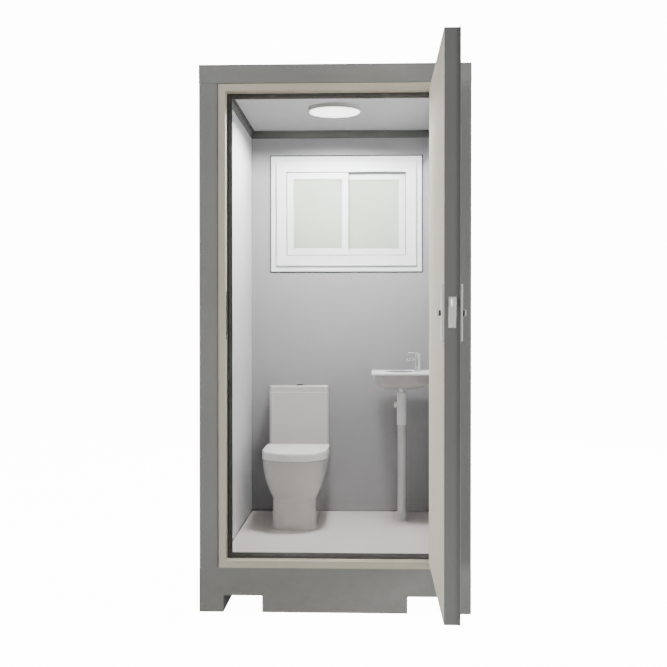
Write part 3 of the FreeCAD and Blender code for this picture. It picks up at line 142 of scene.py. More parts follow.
# %% Lights
SKY = 0.14
LAMP_DROP = 0.02
PANELS = (  # name, place, aim, width, watts
    ("high_panel", (-2.4, -3.0, 5.0), (0.0, -0.9, 1.1), 2.4, 42),
    ("left_panel", (-8.0, -3.6, 1.1), (0.0, -0.9, 1.1), 3.0, 700),
    ("right_panel", (4.5, -3.6, 1.7), (0.55, -0.7, 1.2), 2.0, 178),
    ("floor_bounce", (0.1, -2.4, 0.05), (-0.2, -0.2, 0.45), 0.6, 2.7),
    ("back_panel", (2.5, 5.2, 3.2), (0.0, 0.7, 1.3), 2.4, 190),
    ("front_card", (0.3, -4.6, 1.05), (0.3, 0.0, 1.05), 0.9, 7),
)
world = bpy.data.worlds.new("studio")
world.use_nodes = True
world.node_tree.nodes["Background"].inputs["Color"].default_value = (1, 1, 1, 1)
world.node_tree.nodes["Background"].inputs["Strength"].default_value = SKY
bpy.context.scene.world = world


def light(kind, name, place, aim, watts):
    """A lamp at a place, turned to what it lights."""
    lamp = bpy.data.objects.new(name, bpy.data.lights.new(name, kind))
    lamp.data.energy = watts
    lamp.location = place
    lamp.rotation_euler = (Vector(aim) - Vector(place)).to_track_quat("-Z", "Y").to_euler()
    lamp.visible_camera = False
    bpy.context.collection.objects.link(lamp)
    return lamp


def spot(name, place, aim, watts, size, angle, blend):
    """A lamp with a cone, left out of reflections."""
    lamp = light("SPOT", name, place, aim, watts)
    lamp.data.shadow_soft_size = size
    lamp.data.spot_size = math.radians(angle)
    lamp.data.spot_blend = blend
    lamp.visible_glossy = False


for name, place, aim, width, watts in PANELS:
    light("AREA", name, place, aim, watts).data.size = width
spot("wall_wash", (0.0, -0.45, 2.32), (0.0, 0.6, 1.77), watts=26, size=0.05, angle=64, blend=1.0)
low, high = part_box("light_diffuser")
under = Vector(((low[0] + high[0]) / 2, (low[1] + high[1]) / 2, low[2] - LAMP_DROP))
spot("room_lamp", under, under - Vector((0, 0, 1)), watts=185, size=0.13, angle=170, blend=0.06)
print(len(PANELS), "panels, two spots and the sky")

# %% [markdown]
# ## Finishes
# Paint, glaze and plastic are never one flat colour. Each finish here lets two close tones drift into each other over
# a hand's width, varies its gloss a little, and has a fine grain in its bump. All patterns read Object coordinates,
# which are metres here, so a scale of 900 is a grain of about a millimetre.

# %% A finish with drift and grain
def linear(r, g, b):
    """Screen colour, 0 to 255, to the linear values that a shader works in."""
    return tuple(c / 3294.6 if c <= 10 else ((c / 255 + 0.055) / 1.055) ** 2.4 for c in (r, g, b))


class Finish:
    """A material with its nodes at hand."""

    def __init__(self, name, roughness=0.5, metallic=0.0, **sockets):
        self.material = bpy.data.materials.new(name)
        self.material.use_nodes = True
        self.tree = self.material.node_tree
        self.shader = self.tree.nodes["Principled BSDF"]
        self.where = self.tree.nodes.new("ShaderNodeTexCoord").outputs["Object"]
        self.set("Roughness", roughness)
        self.set("Metallic", metallic)
        for socket, value in sockets.items():
            self.set(socket.replace("_", " "), value)

    def set(self, socket, value):
        self.shader.inputs[socket].default_value = (*value, 1) if isinstance(value, tuple) else value

    def node(self, kind, **values):
        node = self.tree.nodes.new("ShaderNode" + kind)
        for key, value in values.items():
            if key in node.inputs:
                node.inputs[key].default_value = value
            else:
                setattr(node, key, value)
        return node

    def link(self, output, to):
        self.tree.links.new(output, to)

    def noise(self, scale, detail=3.0, stretch=None):
        cloud = self.node("TexNoise", Scale=scale, Detail=detail)
        if stretch:
            mapping = self.node("Mapping", Scale=stretch)
            self.link(self.where, mapping.inputs["Vector"])
            self.link(mapping.outputs["Vector"], cloud.inputs["Vector"])
        else:
            self.link(self.where, cloud.inputs["Vector"])
        return cloud.outputs["Fac"]

    def ramp(self, factor, *stops):
        """Colours by factor: each stop is (position, linear colour)."""
        ramp = self.node("ValToRGB")
        while len(ramp.color_ramp.elements) < len(stops):
            ramp.color_ramp.elements.new(0.5)
        for element, (position, colour) in zip(ramp.color_ramp.elements, stops):
            element.position = position
            element.color = (*colour, 1)
        self.link(factor, ramp.inputs["Fac"])
        return ramp.outputs["Color"]

    def spread(self, factor, low, high, start=0.3, stop=0.7):
        """A number by factor."""
        change = self.node("MapRange")
        for name, value in zip(("From Min", "From Max", "To Min", "To Max"), (start, stop, low, high)):
            change.inputs[name].default_value = value
        self.link(factor, change.inputs["Value"])
        return change.outputs["Result"]

    def mix(self, factor, first, second):
        blend = self.node("Mix", data_type="RGBA")
        self.link(factor, blend.inputs[0])
        self.link(first, blend.inputs[6])
        self.link(second, blend.inputs[7])
        return blend.outputs[2]

    def axis(self, name):
        """One coordinate of the surface point, in metres."""
        split = self.node("SeparateXYZ")
        self.link(self.where, split.inputs["Vector"])
        return split.outputs[name]

    def distance(self, centre, scale):
        """How far the surface point is from a centre, once each axis is scaled."""
        mapping = self.node("Mapping", Scale=scale)
        mapping.inputs["Location"].default_value = [-c * s for c, s in zip(centre, scale)]
        self.link(self.where, mapping.inputs["Vector"])
        length = self.node("VectorMath", operation="LENGTH")
        self.link(mapping.outputs["Vector"], length.inputs[0])
        return length.outputs["Value"]

    def combine(self, operation, first, second):
        """Two numbers made one."""
        join = self.node("Math", operation=operation)
        self.link(first, join.inputs[0])
        self.link(second, join.inputs[1])
        return join.outputs["Value"]

    def colour(self, output):
        self.link(output, self.shader.inputs["Base Color"])

    def gloss(self, output):
        self.link(output, self.shader.inputs["Roughness"])

    def bump(self, output, depth, distance=0.001):
        bump = self.node("Bump", Strength=depth, Distance=distance)
        self.link(output, bump.inputs["Height"])
        self.link(bump.outputs["Normal"], self.shader.inputs["Normal"])


def shade(colour, by):
    """A lighter or darker colour of the same hue."""
    return tuple(c * by for c in colour)


def drifting(name, tone, roughness, drift=0.05, cloud=4.0, grain=900.0, depth=0.06, stretch=None, **sockets):
    """The common finish: tone drifts, gloss varies, and a fine grain catches the light."""
    look = Finish(name, roughness, **sockets)
    slow = look.noise(cloud, 4.0, stretch)
    look.colour(look.ramp(slow, (0.3, shade(tone, 1 - drift)), (0.7, shade(tone, 1 + drift / 2))))
    look.gloss(look.spread(look.noise(cloud * 5, 3.0, stretch), roughness * 0.85, roughness * 1.15))
    look.bump(look.noise(grain, 2.0, stretch), depth)
    return look


print("finish helper ready")

# %% [markdown]
# ## Painted steel
# The frame is grey paint sprayed over steel. Spray leaves an orange-peel skin with hills of about two millimetres.
# Near the ground such a frame gathers dust and scuffs, so the base is warmed and dulled in a band that fades out
# upwards. The band is a ramp on the height, broken up by noise, because a clean gradient looks printed. In the door
# frame's rebate the cream paint is made a shade darker: a painted shade, standing in for the shadow in the rebate.

# %% Frame paint, cream paint and sheet paint
DUST_TOP = 0.3
REBATE_SHADE_INSET, REBATE_SHADE_FADE = 0.003, 0.002


def painted(name, tone, roughness=0.42, dust=0.0, drift=0.05, along=None, scuffs=0.0, painted_shade_from=None):
    """Sprayed paint. Streaks follow the member, scuffs are short pale scratches, dust lies near the ground.

    Past the depth given in painted_shade_from, the paint is darkened: a painted shade.
    """
    look = Finish(name, roughness)
    base = look.ramp(look.noise(3.0, 5.0), (0.3, shade(tone, 1 - drift)), (0.7, shade(tone, 1 + drift / 2)))
    if along:
        streak = look.spread(look.noise(26.0, 5.0, along), 0.0, 0.5, 0.45, 0.75)
        base = look.mix(streak, base, look.ramp(look.noise(9.0), (0.3, shade(tone, 0.9)), (0.7, shade(tone, 1.06))))
    if scuffs:
        thin = tuple(c * 9.0 for c in (along or (1.0, 1.0, 0.1)))
        marks = look.spread(look.noise(11.0, 6.0, thin), 0.0, scuffs, 0.68, 0.76)
        base = look.mix(marks, base, look.ramp(look.noise(40.0), (0.3, shade(tone, 1.25)), (0.7, shade(tone, 1.5))))
    # Painted shade: past the given depth the paint is darkened, as if the recess were in shadow.
    if painted_shade_from is not None:
        rebate_shade_mask = look.spread(look.axis("Y"), 0.0, 1.0, painted_shade_from, painted_shade_from + REBATE_SHADE_FADE)
        rebate_painted_shade = look.ramp(look.noise(9.0), (0.3, shade(tone, 0.7)), (0.7, shade(tone, 0.76)))
        base = look.mix(rebate_shade_mask, base, rebate_painted_shade)
    if dust:
        height = look.spread(look.axis("Z"), dust, 0.0, 0.0, DUST_TOP)
        patchy = look.combine("MULTIPLY", height, look.noise(22.0, 6.0))
        dusty = look.ramp(look.noise(60.0), (0.3, linear(112, 107, 99)), (0.7, linear(130, 125, 116)))
        base = look.mix(patchy, base, dusty)
    look.colour(base)
    look.gloss(look.spread(look.noise(14.0, 4.0), roughness * 0.85, roughness * 1.2))
    look.bump(look.noise(480.0, 2.0), 0.05)
    return look.material


FRAME_TONE = linear(147, 147, 145)
upright_grain, level_grain = (1.0, 1.0, 0.06), (0.06, 0.06, 1.0)
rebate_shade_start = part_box("door_frame")[0][1] + REBATE_SHADE_INSET
finishes = {
    "frame_grey": painted("frame_grey", FRAME_TONE, 0.42, 0.5, along=level_grain, scuffs=0.25),
    "wall_sheet": painted("wall_sheet", linear(203, 205, 204), 0.4, 0.3, along=upright_grain, scuffs=0.12),
    # The cream frame gets a painted shade in its rebate.
    "frame_cream": painted("frame_cream", linear(217, 210, 190), 0.5, along=upright_grain, painted_shade_from=rebate_shade_start),
    "door_skin": painted("door_skin", linear(216, 210, 192), 0.45, along=upright_grain, scuffs=0.1),
    "strike_dark": painted("strike_dark", linear(44, 43, 41), 0.7, scuffs=0.2),
}
upright_paint = painted("frame_grey_upright", FRAME_TONE, 0.42, 0.5, along=upright_grain, scuffs=0.25)
print("paints:", ", ".join(finishes))

# %% [markdown]
# ## Bare metals
# Zinc crystals show as large angular flakes, which a Voronoi cell pattern gives. Brushed steel has hair lines along
# one direction: noise squeezed hard in that direction. Chrome is a mirror, with only a breath of roughness change.

# %% Zinc, brushed steel and chrome
zinc = Finish("galvanised", 0.5, 0.85)
flakes = zinc.node("TexVoronoi", Scale=70.0)
zinc.link(zinc.where, flakes.inputs["Vector"])
zinc.colour(zinc.ramp(flakes.outputs["Color"], (0.2, linear(128, 132, 134)), (0.8, linear(168, 172, 174))))
zinc.gloss(zinc.spread(flakes.outputs["Color"], 0.38, 0.6, 0.0, 1.0))
zinc.bump(zinc.noise(300.0), 0.05)
finishes["galvanised"] = zinc.material


def brushed(name, tone, stretch):
    """Steel with hair lines along the axis that is stretched least."""
    look = Finish(name, 0.32, 1.0)
    hair = look.noise(30.0, 4.0, stretch)
    look.colour(look.ramp(hair, (0.3, shade(tone, 0.9)), (0.7, tone)))
    look.gloss(look.spread(hair, 0.3, 0.42))
    look.bump(hair, 0.04)
    return look.material


finishes["hinge_steel"] = brushed("hinge_steel", linear(176, 178, 180), (40, 40, 1))
finishes["lock_steel"] = brushed("lock_steel", linear(238, 238, 236), (40, 40, 1))
chrome = Finish("tap_chrome", 0.15, 1.0)
chrome.colour(chrome.ramp(chrome.noise(20.0), (0.3, linear(236, 238, 240)), (0.7, linear(244, 245, 246))))
chrome.gloss(chrome.spread(chrome.noise(45.0, 4.0), 0.12, 0.18))
finishes["tap_chrome"] = chrome.material
print("metals ready")

# %% [markdown]
# ## Plastics, rubber and boards
# Laminate walls are smooth with a faint leather grain. They are white at the sides; on the rear wall the white is
# painted a light grey, a painted shade for the dimmer light there, split where the rear panel starts. Sheet vinyl is
# faintly flecked, with a soft sheen from its wear layer.
# Moulded plastic has a fine spark-eroded grain, and rubber a dull one. Wool and plywood stay hidden in the walls, and
# still have fibre and grain for the day somebody opens them.

# %% Wall laminate and floor vinyl
VINYL_LAP, TONE_FADE = 0.006, 0.0005
rear_wall = max(v.co.y for v in nodes["floor_vinyl"].data.vertices) - VINYL_LAP
lining = Finish("lining_white", 0.38)
white = lining.ramp(lining.noise(2.0, 4.0), (0.3, linear(213, 213, 215)), (0.7, linear(218, 218, 220)))
# Painted shade: the rear wall's grey stands in for shade on the same white laminate.
rear_painted_shade = lining.ramp(lining.noise(2.4, 4.0), (0.3, linear(149, 148, 150)), (0.7, linear(155, 154, 156)))
rear_shade_mask = lining.spread(lining.axis("Y"), 0.0, 1.0, rear_wall, rear_wall + TONE_FADE)
lining.colour(lining.mix(rear_shade_mask, white, rear_painted_shade))
lining.gloss(lining.spread(lining.noise(9.0, 4.0), 0.32, 0.44))
lining.bump(lining.noise(700.0, 2.0), 0.03)
finishes["lining_white"] = lining.material

vinyl = Finish("vinyl", 0.32)
vinyl.colour(vinyl.ramp(vinyl.noise(5.0, 4.0), (0.3, linear(217, 212, 209)), (0.7, linear(222, 217, 214))))
vinyl.gloss(vinyl.spread(vinyl.noise(3.0, 2.0), 0.3, 0.35))
finishes["vinyl"] = vinyl.material
print("laminate and vinyl ready")

# %% Moulded plastics and rubber
for name, tone, roughness, depth in (
    ("trim_grey", linear(84, 83, 81), 0.45, 0.05),
    ("stop_dark", linear(84, 82, 80), 0.55, 0.06),
    ("seal_rubber", linear(74, 73, 71), 0.7, 0.12),
    ("plate_grey", linear(228, 229, 228), 0.38, 0.04),
    ("lever_white", linear(238, 238, 236), 0.34, 0.02),
    ("collar_dark", linear(48, 48, 48), 0.4, 0.05),
    ("window_white", linear(240, 241, 241), 0.34, 0.03),
    ("seat_white", linear(244, 244, 243), 0.22, 0.015),
    ("button_dark", linear(30, 31, 32), 0.55, 0.03),
    ("pipe_white", linear(246, 247, 246), 0.34, 0.02),
    ("valve_grey", linear(168, 172, 176), 0.5, 0.05),
    ("light_rim", linear(196, 196, 194), 0.4, 0.04),
):
    finishes[name] = drifting(name, tone, roughness, 0.04, 9.0, 1100.0, depth).material
# The door's edge is the frame paint made darker: a shaded copy, painted shade on the edge.
finishes["door_edge"] = painted("door_edge", shade(FRAME_TONE, 0.62), 0.48, along=upright_grain, scuffs=0.2)

glaze = drifting("china", linear(197, 195, 192), 0.12, 0.015, 5.0, 60.0, 0.012, Coat_Weight=0.6, Coat_Roughness=0.05)
finishes["china"] = glaze.material
# A pile seal's colour, made near black so that it also paints the shade in the window's steps and the casing's shadow.
pile_and_painted_shadow = drifting("pile_grey_painted_shadow", linear(36, 36, 38), 0.8, 0.06, 30.0, 1500.0, 0.2)
joint_grey = drifting("joint_grey", linear(128, 127, 126), 0.5, 0.05, 12.0, 900.0, 0.04)
waste_pipe = drifting("waste_pipe", linear(214, 214, 213), 0.34, 0.04, 9.0, 1100.0, 0.02)
print(len(finishes), "finishes so far")

# %% Wool and plywood
wool = Finish("insulation_wool", 0.95)
fibre = wool.noise(160.0, 6.0, (1, 1, 6))
wool.colour(wool.ramp(fibre, (0.3, linear(184, 166, 112)), (0.7, linear(216, 202, 156))))
wool.bump(fibre, 0.6, 0.003)
finishes["insulation_wool"] = wool.material

ply = Finish("board", 0.6)
rings = ply.noise(14.0, 6.0, (1, 12, 1))
ply.colour(ply.ramp(rings, (0.3, linear(158, 122, 82)), (0.7, linear(190, 156, 112))))
ply.bump(rings, 0.15)
finishes["board"] = ply.material
print("hidden boards ready")

# %% [markdown]
# ## The basin's glaze
# The deck of the basin is painted a lighter tone, a painted highlight for the light it catches from above, and the
# bowl's wall is painted a shade darker just under the rim, a painted shade. The belly keeps the glaze's own tone, and
# the whole basin has one soft gloss. Height tells the deck from the belly. An oval round the bowl tells the deck from
# the bowl's wall.

# %% Deck, belly and bowl
BOWL_HALF = (0.081, 0.135)
OVAL_FADE = (1.04, 1.07)
DECK_FADE, TOP_FADE = (0.013, 0.0105), (0.0015, 0.0005)

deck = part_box("basin")[1][2]
openings = {opening["name"]: opening["box_m"] for opening in frame["record"]["physics"]["openings"]}
low, high = openings["basin_bowl"]
bowl_middle = ((low[0] + high[0]) / 2, (low[1] + high[1]) / 2, 0.0)

basin_painted_light = Finish("china_painted_light", 0.42)
height = basin_painted_light.axis("Z")
near_deck, near_top = (
    basin_painted_light.spread(height, 0.0, 1.0, deck - start, deck - stop) for start, stop in (DECK_FADE, TOP_FADE)
)
reach = basin_painted_light.distance(bowl_middle, (1 / BOWL_HALF[0], 1 / BOWL_HALF[1], 0.0))
deck_highlight_mask = basin_painted_light.combine("MAXIMUM", basin_painted_light.spread(reach, 0.0, 1.0, *OVAL_FADE), near_top)
belly = basin_painted_light.ramp(basin_painted_light.noise(5.0), (0.3, linear(190, 188, 185)), (0.7, linear(195, 193, 190)))
# Painted highlight: the deck's light tone.
clear = basin_painted_light.ramp(basin_painted_light.noise(5.0), (0.3, linear(230, 230, 229)), (0.7, linear(234, 234, 233)))
# Painted shade: the bowl's wall just under the rim.
bowl = basin_painted_light.ramp(basin_painted_light.noise(5.0), (0.3, linear(158, 157, 155)), (0.7, linear(163, 162, 160)))
basin_painted_light.colour(basin_painted_light.mix(near_deck, belly, basin_painted_light.mix(deck_highlight_mask, bowl, clear)))
basin_painted_light.bump(basin_painted_light.noise(300.0), 0.02)
print("middle of the bowl", [round(c, 3) for c in bowl_middle[:2]])

# %% [markdown]
# ## Frosted glass and the lamp's lens
# The panes let light through but no view: rough transmission with a pale green tint. The lens is opal plastic that
# glows on its underside and hardly at its edge, and its edge is painted grey, a painted shade on the lens's side.
# Height is stretched before the distance from the middle is taken, so one ramp tells the underside from the edge.

# %% Panes and lens
EDGE_STRETCH = 12.0
FACE_END, EDGE_START = 1.12, 1.35
LENS_GLOW = 4.0

pane = Finish("pane", 0.4, Transmission_Weight=0.3, IOR=1.5)
pane.colour(pane.ramp(pane.noise(6.0), (0.3, linear(203, 214, 194)), (0.7, linear(209, 220, 201))))
pane.bump(pane.noise(420.0, 3.0), 0.25)
finishes["pane"] = pane.material

low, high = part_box("light_diffuser")
middle = ((low[0] + high[0]) / 2, (low[1] + high[1]) / 2, low[2])
rim = (high[0] - low[0]) / 2
face_end, edge_start = rim * FACE_END, rim * EDGE_START
lens = Finish("light_lens", 0.35)
away = lens.distance(middle, (1.0, 1.0, EDGE_STRETCH))
# Painted shade: the lens's edge is grey, a shaded copy of its white underside.
lens.colour(lens.ramp(away, (face_end, linear(250, 250, 247)), (edge_start, linear(150, 150, 148))))
glow = lens.ramp(away, (0.0, (1.0, 1.0, 0.98)), (face_end, (0.85, 0.85, 0.84)), (edge_start, (0.02, 0.02, 0.02)))
lens.link(glow, lens.shader.inputs["Emission Color"])
lens.set("Emission Strength", LENS_GLOW)
finishes["light_lens"] = lens.material
missing = sorted(set(slot_of_node.values()) - set(finishes))
print("slots without a finish:", missing)

# %% [markdown]
# ## Dressing the solids
# Every solid first gets its finish. Then the ones whose edges the eye can catch are copied, merged, and eased with a
# bevel, because no folded, welded or moulded edge is a knife. Only edges that run along a member are eased: the mitres
# stay tight, as welded and ground corners are. The copy stands for the solid, which stays in the physics.

# %% Give every solid its finish
for node, solid in nodes.items():
    solid.data.materials.clear()
    solid.data.materials.append(finishes[slot_of_node[node]])
print("finishes on", len(nodes), "solids")


# %% Pieces and eased copies
MERGE = 2e-6
COPLANAR, SHARP = math.radians(0.4), math.radians(30)
SQUARE, STRAIGHT = 0.9998, 0.999


def piece(name, bm, body, slot, angle=40.0, finish=None):
    """Make the mesh an object with its finish, and let it ride on a body. Faces square to an axis stay flat."""
    mesh = bpy.data.meshes.new(name)
    bm.to_mesh(mesh)
    bm.free()
    mesh.set_sharp_from_angle(angle=math.radians(angle))
    for face in mesh.polygons:
        face.use_smooth = max(abs(c) for c in face.normal) < SQUARE
    thing = bpy.data.objects.new(name, mesh)
    bpy.context.collection.objects.link(thing)
    mesh.materials.append(finish or finishes[slot])
    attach(thing, body)
    return thing


def merged(node):
    """A copy of a solid's mesh with its doubled corners joined."""
    bm = bmesh.new()
    bm.from_mesh(nodes[node].data)
    bmesh.ops.remove_doubles(bm, verts=bm.verts, dist=MERGE)
    return bm


def eased(node, radius=0.0, ways="xyz", segments=2, finish=None):
    """A copy of a solid with the edges along the given directions rounded."""
    bm = merged(node)
    bmesh.ops.dissolve_limit(bm, angle_limit=COPLANAR, verts=bm.verts, edges=bm.edges)

    def chosen(edge):
        if len(edge.link_faces) != 2 or edge.calc_face_angle() < SHARP:
            return False
        run = edge.verts[1].co - edge.verts[0].co
        return any(abs(run["xyz".index(way)]) > STRAIGHT * run.length for way in ways)

    if radius:
        picked = [edge for edge in bm.edges if chosen(edge)]
        bmesh.ops.bevel(
            bm, geom=picked, offset=radius, segments=segments, profile=0.5, affect="EDGES", material=-1,
            clamp_overlap=True,
        )
    thing = piece(node + "_eased", bm, body_of_node[node], slot_of_node[node], finish=finish)
    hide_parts(node)
    return thing


# %% Members and frames
for node, radius, ways in (
    ("end_base_rails", 0.004, "x"), ("side_base_rails", 0.004, "y"), ("corner_posts", 0.005, "z"),
    ("roof_frame", 0.004, "xy"), ("door_frame", 0.0015, "xz"), ("door_stop", 0.0015, "xz"),
    ("ceiling_trim", 0.0008, "xy"), ("window_casings", 0.002, "xz"), ("window_frame", 0.0015, "xz"),
    ("left_sash", 0.0015, "xz"), ("right_sash", 0.0015, "xz"), ("door_edge_frame", 0.001, "yz"),
):
    done = eased(node, radius, ways, finish=upright_paint if node == "corner_posts" else None)
    print(done.name, len(done.data.polygons), "faces")

# %% Turned, moulded and glazed pieces
for node in (
    "toilet_pan", "toilet_seat", "toilet_lid", "basin_waste", "bottle_trap", "soil_pipe", "tap_body", "tap_head",
    "flush_button_ring", "flush_button_full", "flush_button_half", "light_base", "light_diffuser", "backplates",
    "lever_collars", "seat_hinge_posts", "hinge_frame_leaves", "hinge_door_leaves", "hinge_pins",
):
    eased(node)
eased("basin", finish=basin_painted_light.material)
eased("drain_pipe", finish=waste_pipe.material)
for node, radius in (
    ("door_levers", 0.002), ("tap_lever", 0.001), ("lock_faceplate", 0.0008),
    ("cistern", 0.003), ("cistern_lid", 0.003),
):
    eased(node, radius, segments=3)
print("eased copies done")

# %% [markdown]
# ## Screws and rivets
# A plate looks fixed when its screws are there. One head is a cone, with its top inset and pressed in for the driver.
# A ray sent at the solid finds the face that a head stands on, so no height has to be measured by hand.

# %% Finding faces
HEAD_SIDES, HEAD_TOP = 16, 0.75
SOCKET_WALL, SOCKET_DEPTH = 0.3, 0.5
OUTSIDE = 0.1
surfaces = {}


def surface(node, start, way):
    """Where a ray meets a solid."""
    if node not in surfaces:
        mesh = nodes[node].data
        surfaces[node] = BVHTree.FromPolygons([v.co for v in mesh.vertices], [list(f.vertices) for f in mesh.polygons])
    return surfaces[node].ray_cast(Vector(start), Vector(way))[0]


def solids_of(node):
    """Low and high corners of each separate solid in a node."""
    bm = merged(node)
    waiting, boxes = set(bm.verts), []
    while waiting:
        todo, group = [waiting.pop()], []
        while todo:
            vert = todo.pop()
            group.append(vert.co.copy())
            near = {edge.other_vert(vert) for edge in vert.link_edges} & waiting
            waiting -= near
            todo += near
        boxes.append([Vector([pick(co[i] for co in group) for i in range(3)]) for pick in (min, max)])
    bm.free()
    return sorted(boxes, key=lambda box: tuple(box[0]))


def head(bm, place, facing, radius, rise):
    """A pan head on a face, with its socket."""
    facing = Vector(facing)
    frame_of_head = facing.to_track_quat("Z", "Y").to_matrix().to_4x4()
    frame_of_head.translation = Vector(place) + facing * rise / 2
    made = bmesh.ops.create_cone(
        bm, cap_ends=True, segments=HEAD_SIDES, radius1=radius, radius2=radius * HEAD_TOP, depth=rise,
        matrix=frame_of_head,
    )["verts"]
    faces = {face for vert in made for face in vert.link_faces}
    top = max(faces, key=lambda face: face.calc_center_median().dot(facing))
    bmesh.ops.inset_region(bm, faces=[top], thickness=radius * SOCKET_WALL, depth=-rise * SOCKET_DEPTH)


print("helpers ready")

# %% Heads on hinges, lock and strike
# Each head is a radius and a rise. An inset is the way from the plate's end to the head's middle.
HINGE_HEAD, HINGE_INSET, HINGE_COLUMNS = (0.0042, 0.0018), 0.012, (0.011, 0.034)
STRIKE_HEAD, STRIKE_INSET = (0.004, 0.0008), 0.014
FACEPLATE_HEAD, FACEPLATE_INSET = (0.0035, 0.0008), 0.007
BACKPLATE_HEAD, BACKPLATE_INSET = (0.004, 0.0012), 0.014

bm = bmesh.new()
for low, high in solids_of("hinge_door_leaves"):
    for y in (low.y + column for column in HINGE_COLUMNS):
        for z in (low.z + HINGE_INSET, high.z - HINGE_INSET):
            place = surface("hinge_door_leaves", (high.x + OUTSIDE, y, z), (-1, 0, 0))
            head(bm, place, (1, 0, 0), *HINGE_HEAD)
piece("hinge_screws", bm, "door", "hinge_steel")

bm = bmesh.new()
low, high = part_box("strike_plate")
for z in (low[2] + STRIKE_INSET, high[2] - STRIKE_INSET):
    head(bm, (high[0], (low[1] + high[1]) / 2, z), (1, 0, 0), *STRIKE_HEAD)
piece("strike_screws", bm, "cabin", "hinge_steel")

bm = bmesh.new()
low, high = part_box("lock_faceplate")
for z in (low[2] + FACEPLATE_INSET, high[2] - FACEPLATE_INSET):
    head(bm, ((low[0] + high[0]) / 2, low[1], z), (0, -1, 0), *FACEPLATE_HEAD)
piece("faceplate_screws", bm, "door", "lock_steel")

bm = bmesh.new()
for (low, high), side in zip(solids_of("backplates"), (-1, 1)):
    for z in (low.z + BACKPLATE_INSET, high.z - BACKPLATE_INSET):
        face = high.x if side > 0 else low.x
        head(bm, (face, (low.y + high.y) / 2, z), (side, 0, 0), *BACKPLATE_HEAD)
piece("backplate_screws", bm, "door", "lock_steel")
print("screws on hinges, lock and strike")

# %% Rivets on the sheets
RIVET, ROOF_HEAD = (0.0055, 0.0025), (0.007, 0.004)
RIB_PITCH, RIVET_INSET = 0.175, 0.03
SIDE_END, REAR_END = 0.5775, 0.505
ROOF_PITCH, ROOF_END = 0.2665, 0.515
ROOF_ROWS = (0.2, 0.59)


def both_ways(*steps):
    """The steps to both sides of the middle, in order."""
    return sorted({*steps, *(-step for step in steps)})


beyond_x, beyond_y, beyond_z = (c + OUTSIDE for c in cad_box[1])
low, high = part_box("side_wall_panels")
rows = (low[2] + RIVET_INSET, high[2] - RIVET_INSET)
bm = bmesh.new()
for side in (-1, 1):
    for y in both_ways(RIB_PITCH * 0.5, RIB_PITCH * 1.5, RIB_PITCH * 2.5, SIDE_END):
        for z in rows:
            place = surface("side_wall_panels", (side * beyond_x, y, z), (-side, 0, 0))
            head(bm, place, (side, 0, 0), *RIVET)
for x in both_ways(0.0, RIB_PITCH, RIB_PITCH * 2, REAR_END):
    for z in rows:
        head(bm, surface("rear_wall_panel", (x, beyond_y, z), (0, -1, 0)), (0, 1, 0), *RIVET)
piece("sheet_rivets", bm, "cabin", "wall_sheet")

bm = bmesh.new()
for x in both_ways(0.0, ROOF_PITCH, ROOF_END):
    for y in both_ways(*ROOF_ROWS):
        head(bm, surface("roof_sheet", (x, y, beyond_z), (0, 0, -1)), (0, 0, 1), *ROOF_HEAD)
piece("roof_screws", bm, "cabin", "hinge_steel")
print("rivets and roof screws done")

# %% [markdown]
# ## Beads and seals
# A pane is held by a bead whose face slopes down to the glass: one face, inset with some depth, with its two rims drawn
# back to the pane. A brush seal lines the window frame; it is made near black, so it also paints the shade in the step
# between frame and sash. A dark ring round the casing is a painted shadow, standing for the casing's shadow on the
# wall.
# A lip on the door stop takes the door's seal. All three are flat rings: a face, inset, without its middle, and drawn
# to its depth. Sealant closes the corner between floor and wall, and the one between basin and wall.

# %% Glazing beads
BEAD_RISE, BEAD_SLOPE = 0.006, 0.003
BEAD_INSET = Vector((0.009, 0, 0.009))


def upright_face(bm, box, y):
    """A rectangle in the XZ plane from (x0, x1, z0, z1), with its normal worked out."""
    x0, x1, z0, z1 = box
    pane = bm.faces.new([bm.verts.new((x, y, z)) for x, z in ((x0, z0), (x1, z0), (x1, z1), (x0, z1))])
    pane.normal_update()
    return pane


def bead_ring(bm, low, high, glass, side):
    """A sloped bead round an opening in the XZ plane. Side is -1 for the room side and 1 for the outside."""
    pane = upright_face(bm, (low.x, high.x, low.z, high.z), glass + side * BEAD_RISE)
    if side > 0:
        pane.normal_flip()
    verts = list(pane.verts)
    bmesh.ops.inset_region(
        bm, faces=[pane], thickness=BEAD_SLOPE, depth=-BEAD_SLOPE, use_boundary=True, use_even_offset=True
    )
    inner = list(pane.edges)
    bmesh.ops.delete(bm, geom=[pane], context="FACES_ONLY")
    outer = [bm.edges.get(pair) for pair in zip(verts, verts[1:] + verts[:1])]
    for rims, drop in ((outer, BEAD_RISE), (inner, BEAD_RISE - BEAD_SLOPE)):
        made = bmesh.ops.extrude_edge_only(bm, edges=rims)["geom"]
        bmesh.ops.translate(bm, verts=verts_in(made), vec=(0, -side * drop, 0))


for window in ("left", "right"):
    low, high = (Vector(corner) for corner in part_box(window + "_glass"))
    bm = bmesh.new()
    bead_ring(bm, low + BEAD_INSET, high - BEAD_INSET, low.y, -1)
    bead_ring(bm, low + BEAD_INSET, high - BEAD_INSET, high.y, 1)
    bmesh.ops.recalc_face_normals(bm, faces=bm.faces)
    piece(window + "_glazing_beads", bm, window + "_window", "window_white")
print("glazing beads on both panes")

# %% Seals and a painted shadow round the window
BRUSH, BRUSH_FROM, BRUSH_TO = 0.0025, 0.0042, 0.0064
CASING_SHADOW_RING, CASING_SHADOW_DEPTH = 0.006, 0.003
ON_PLANE = 1e-5


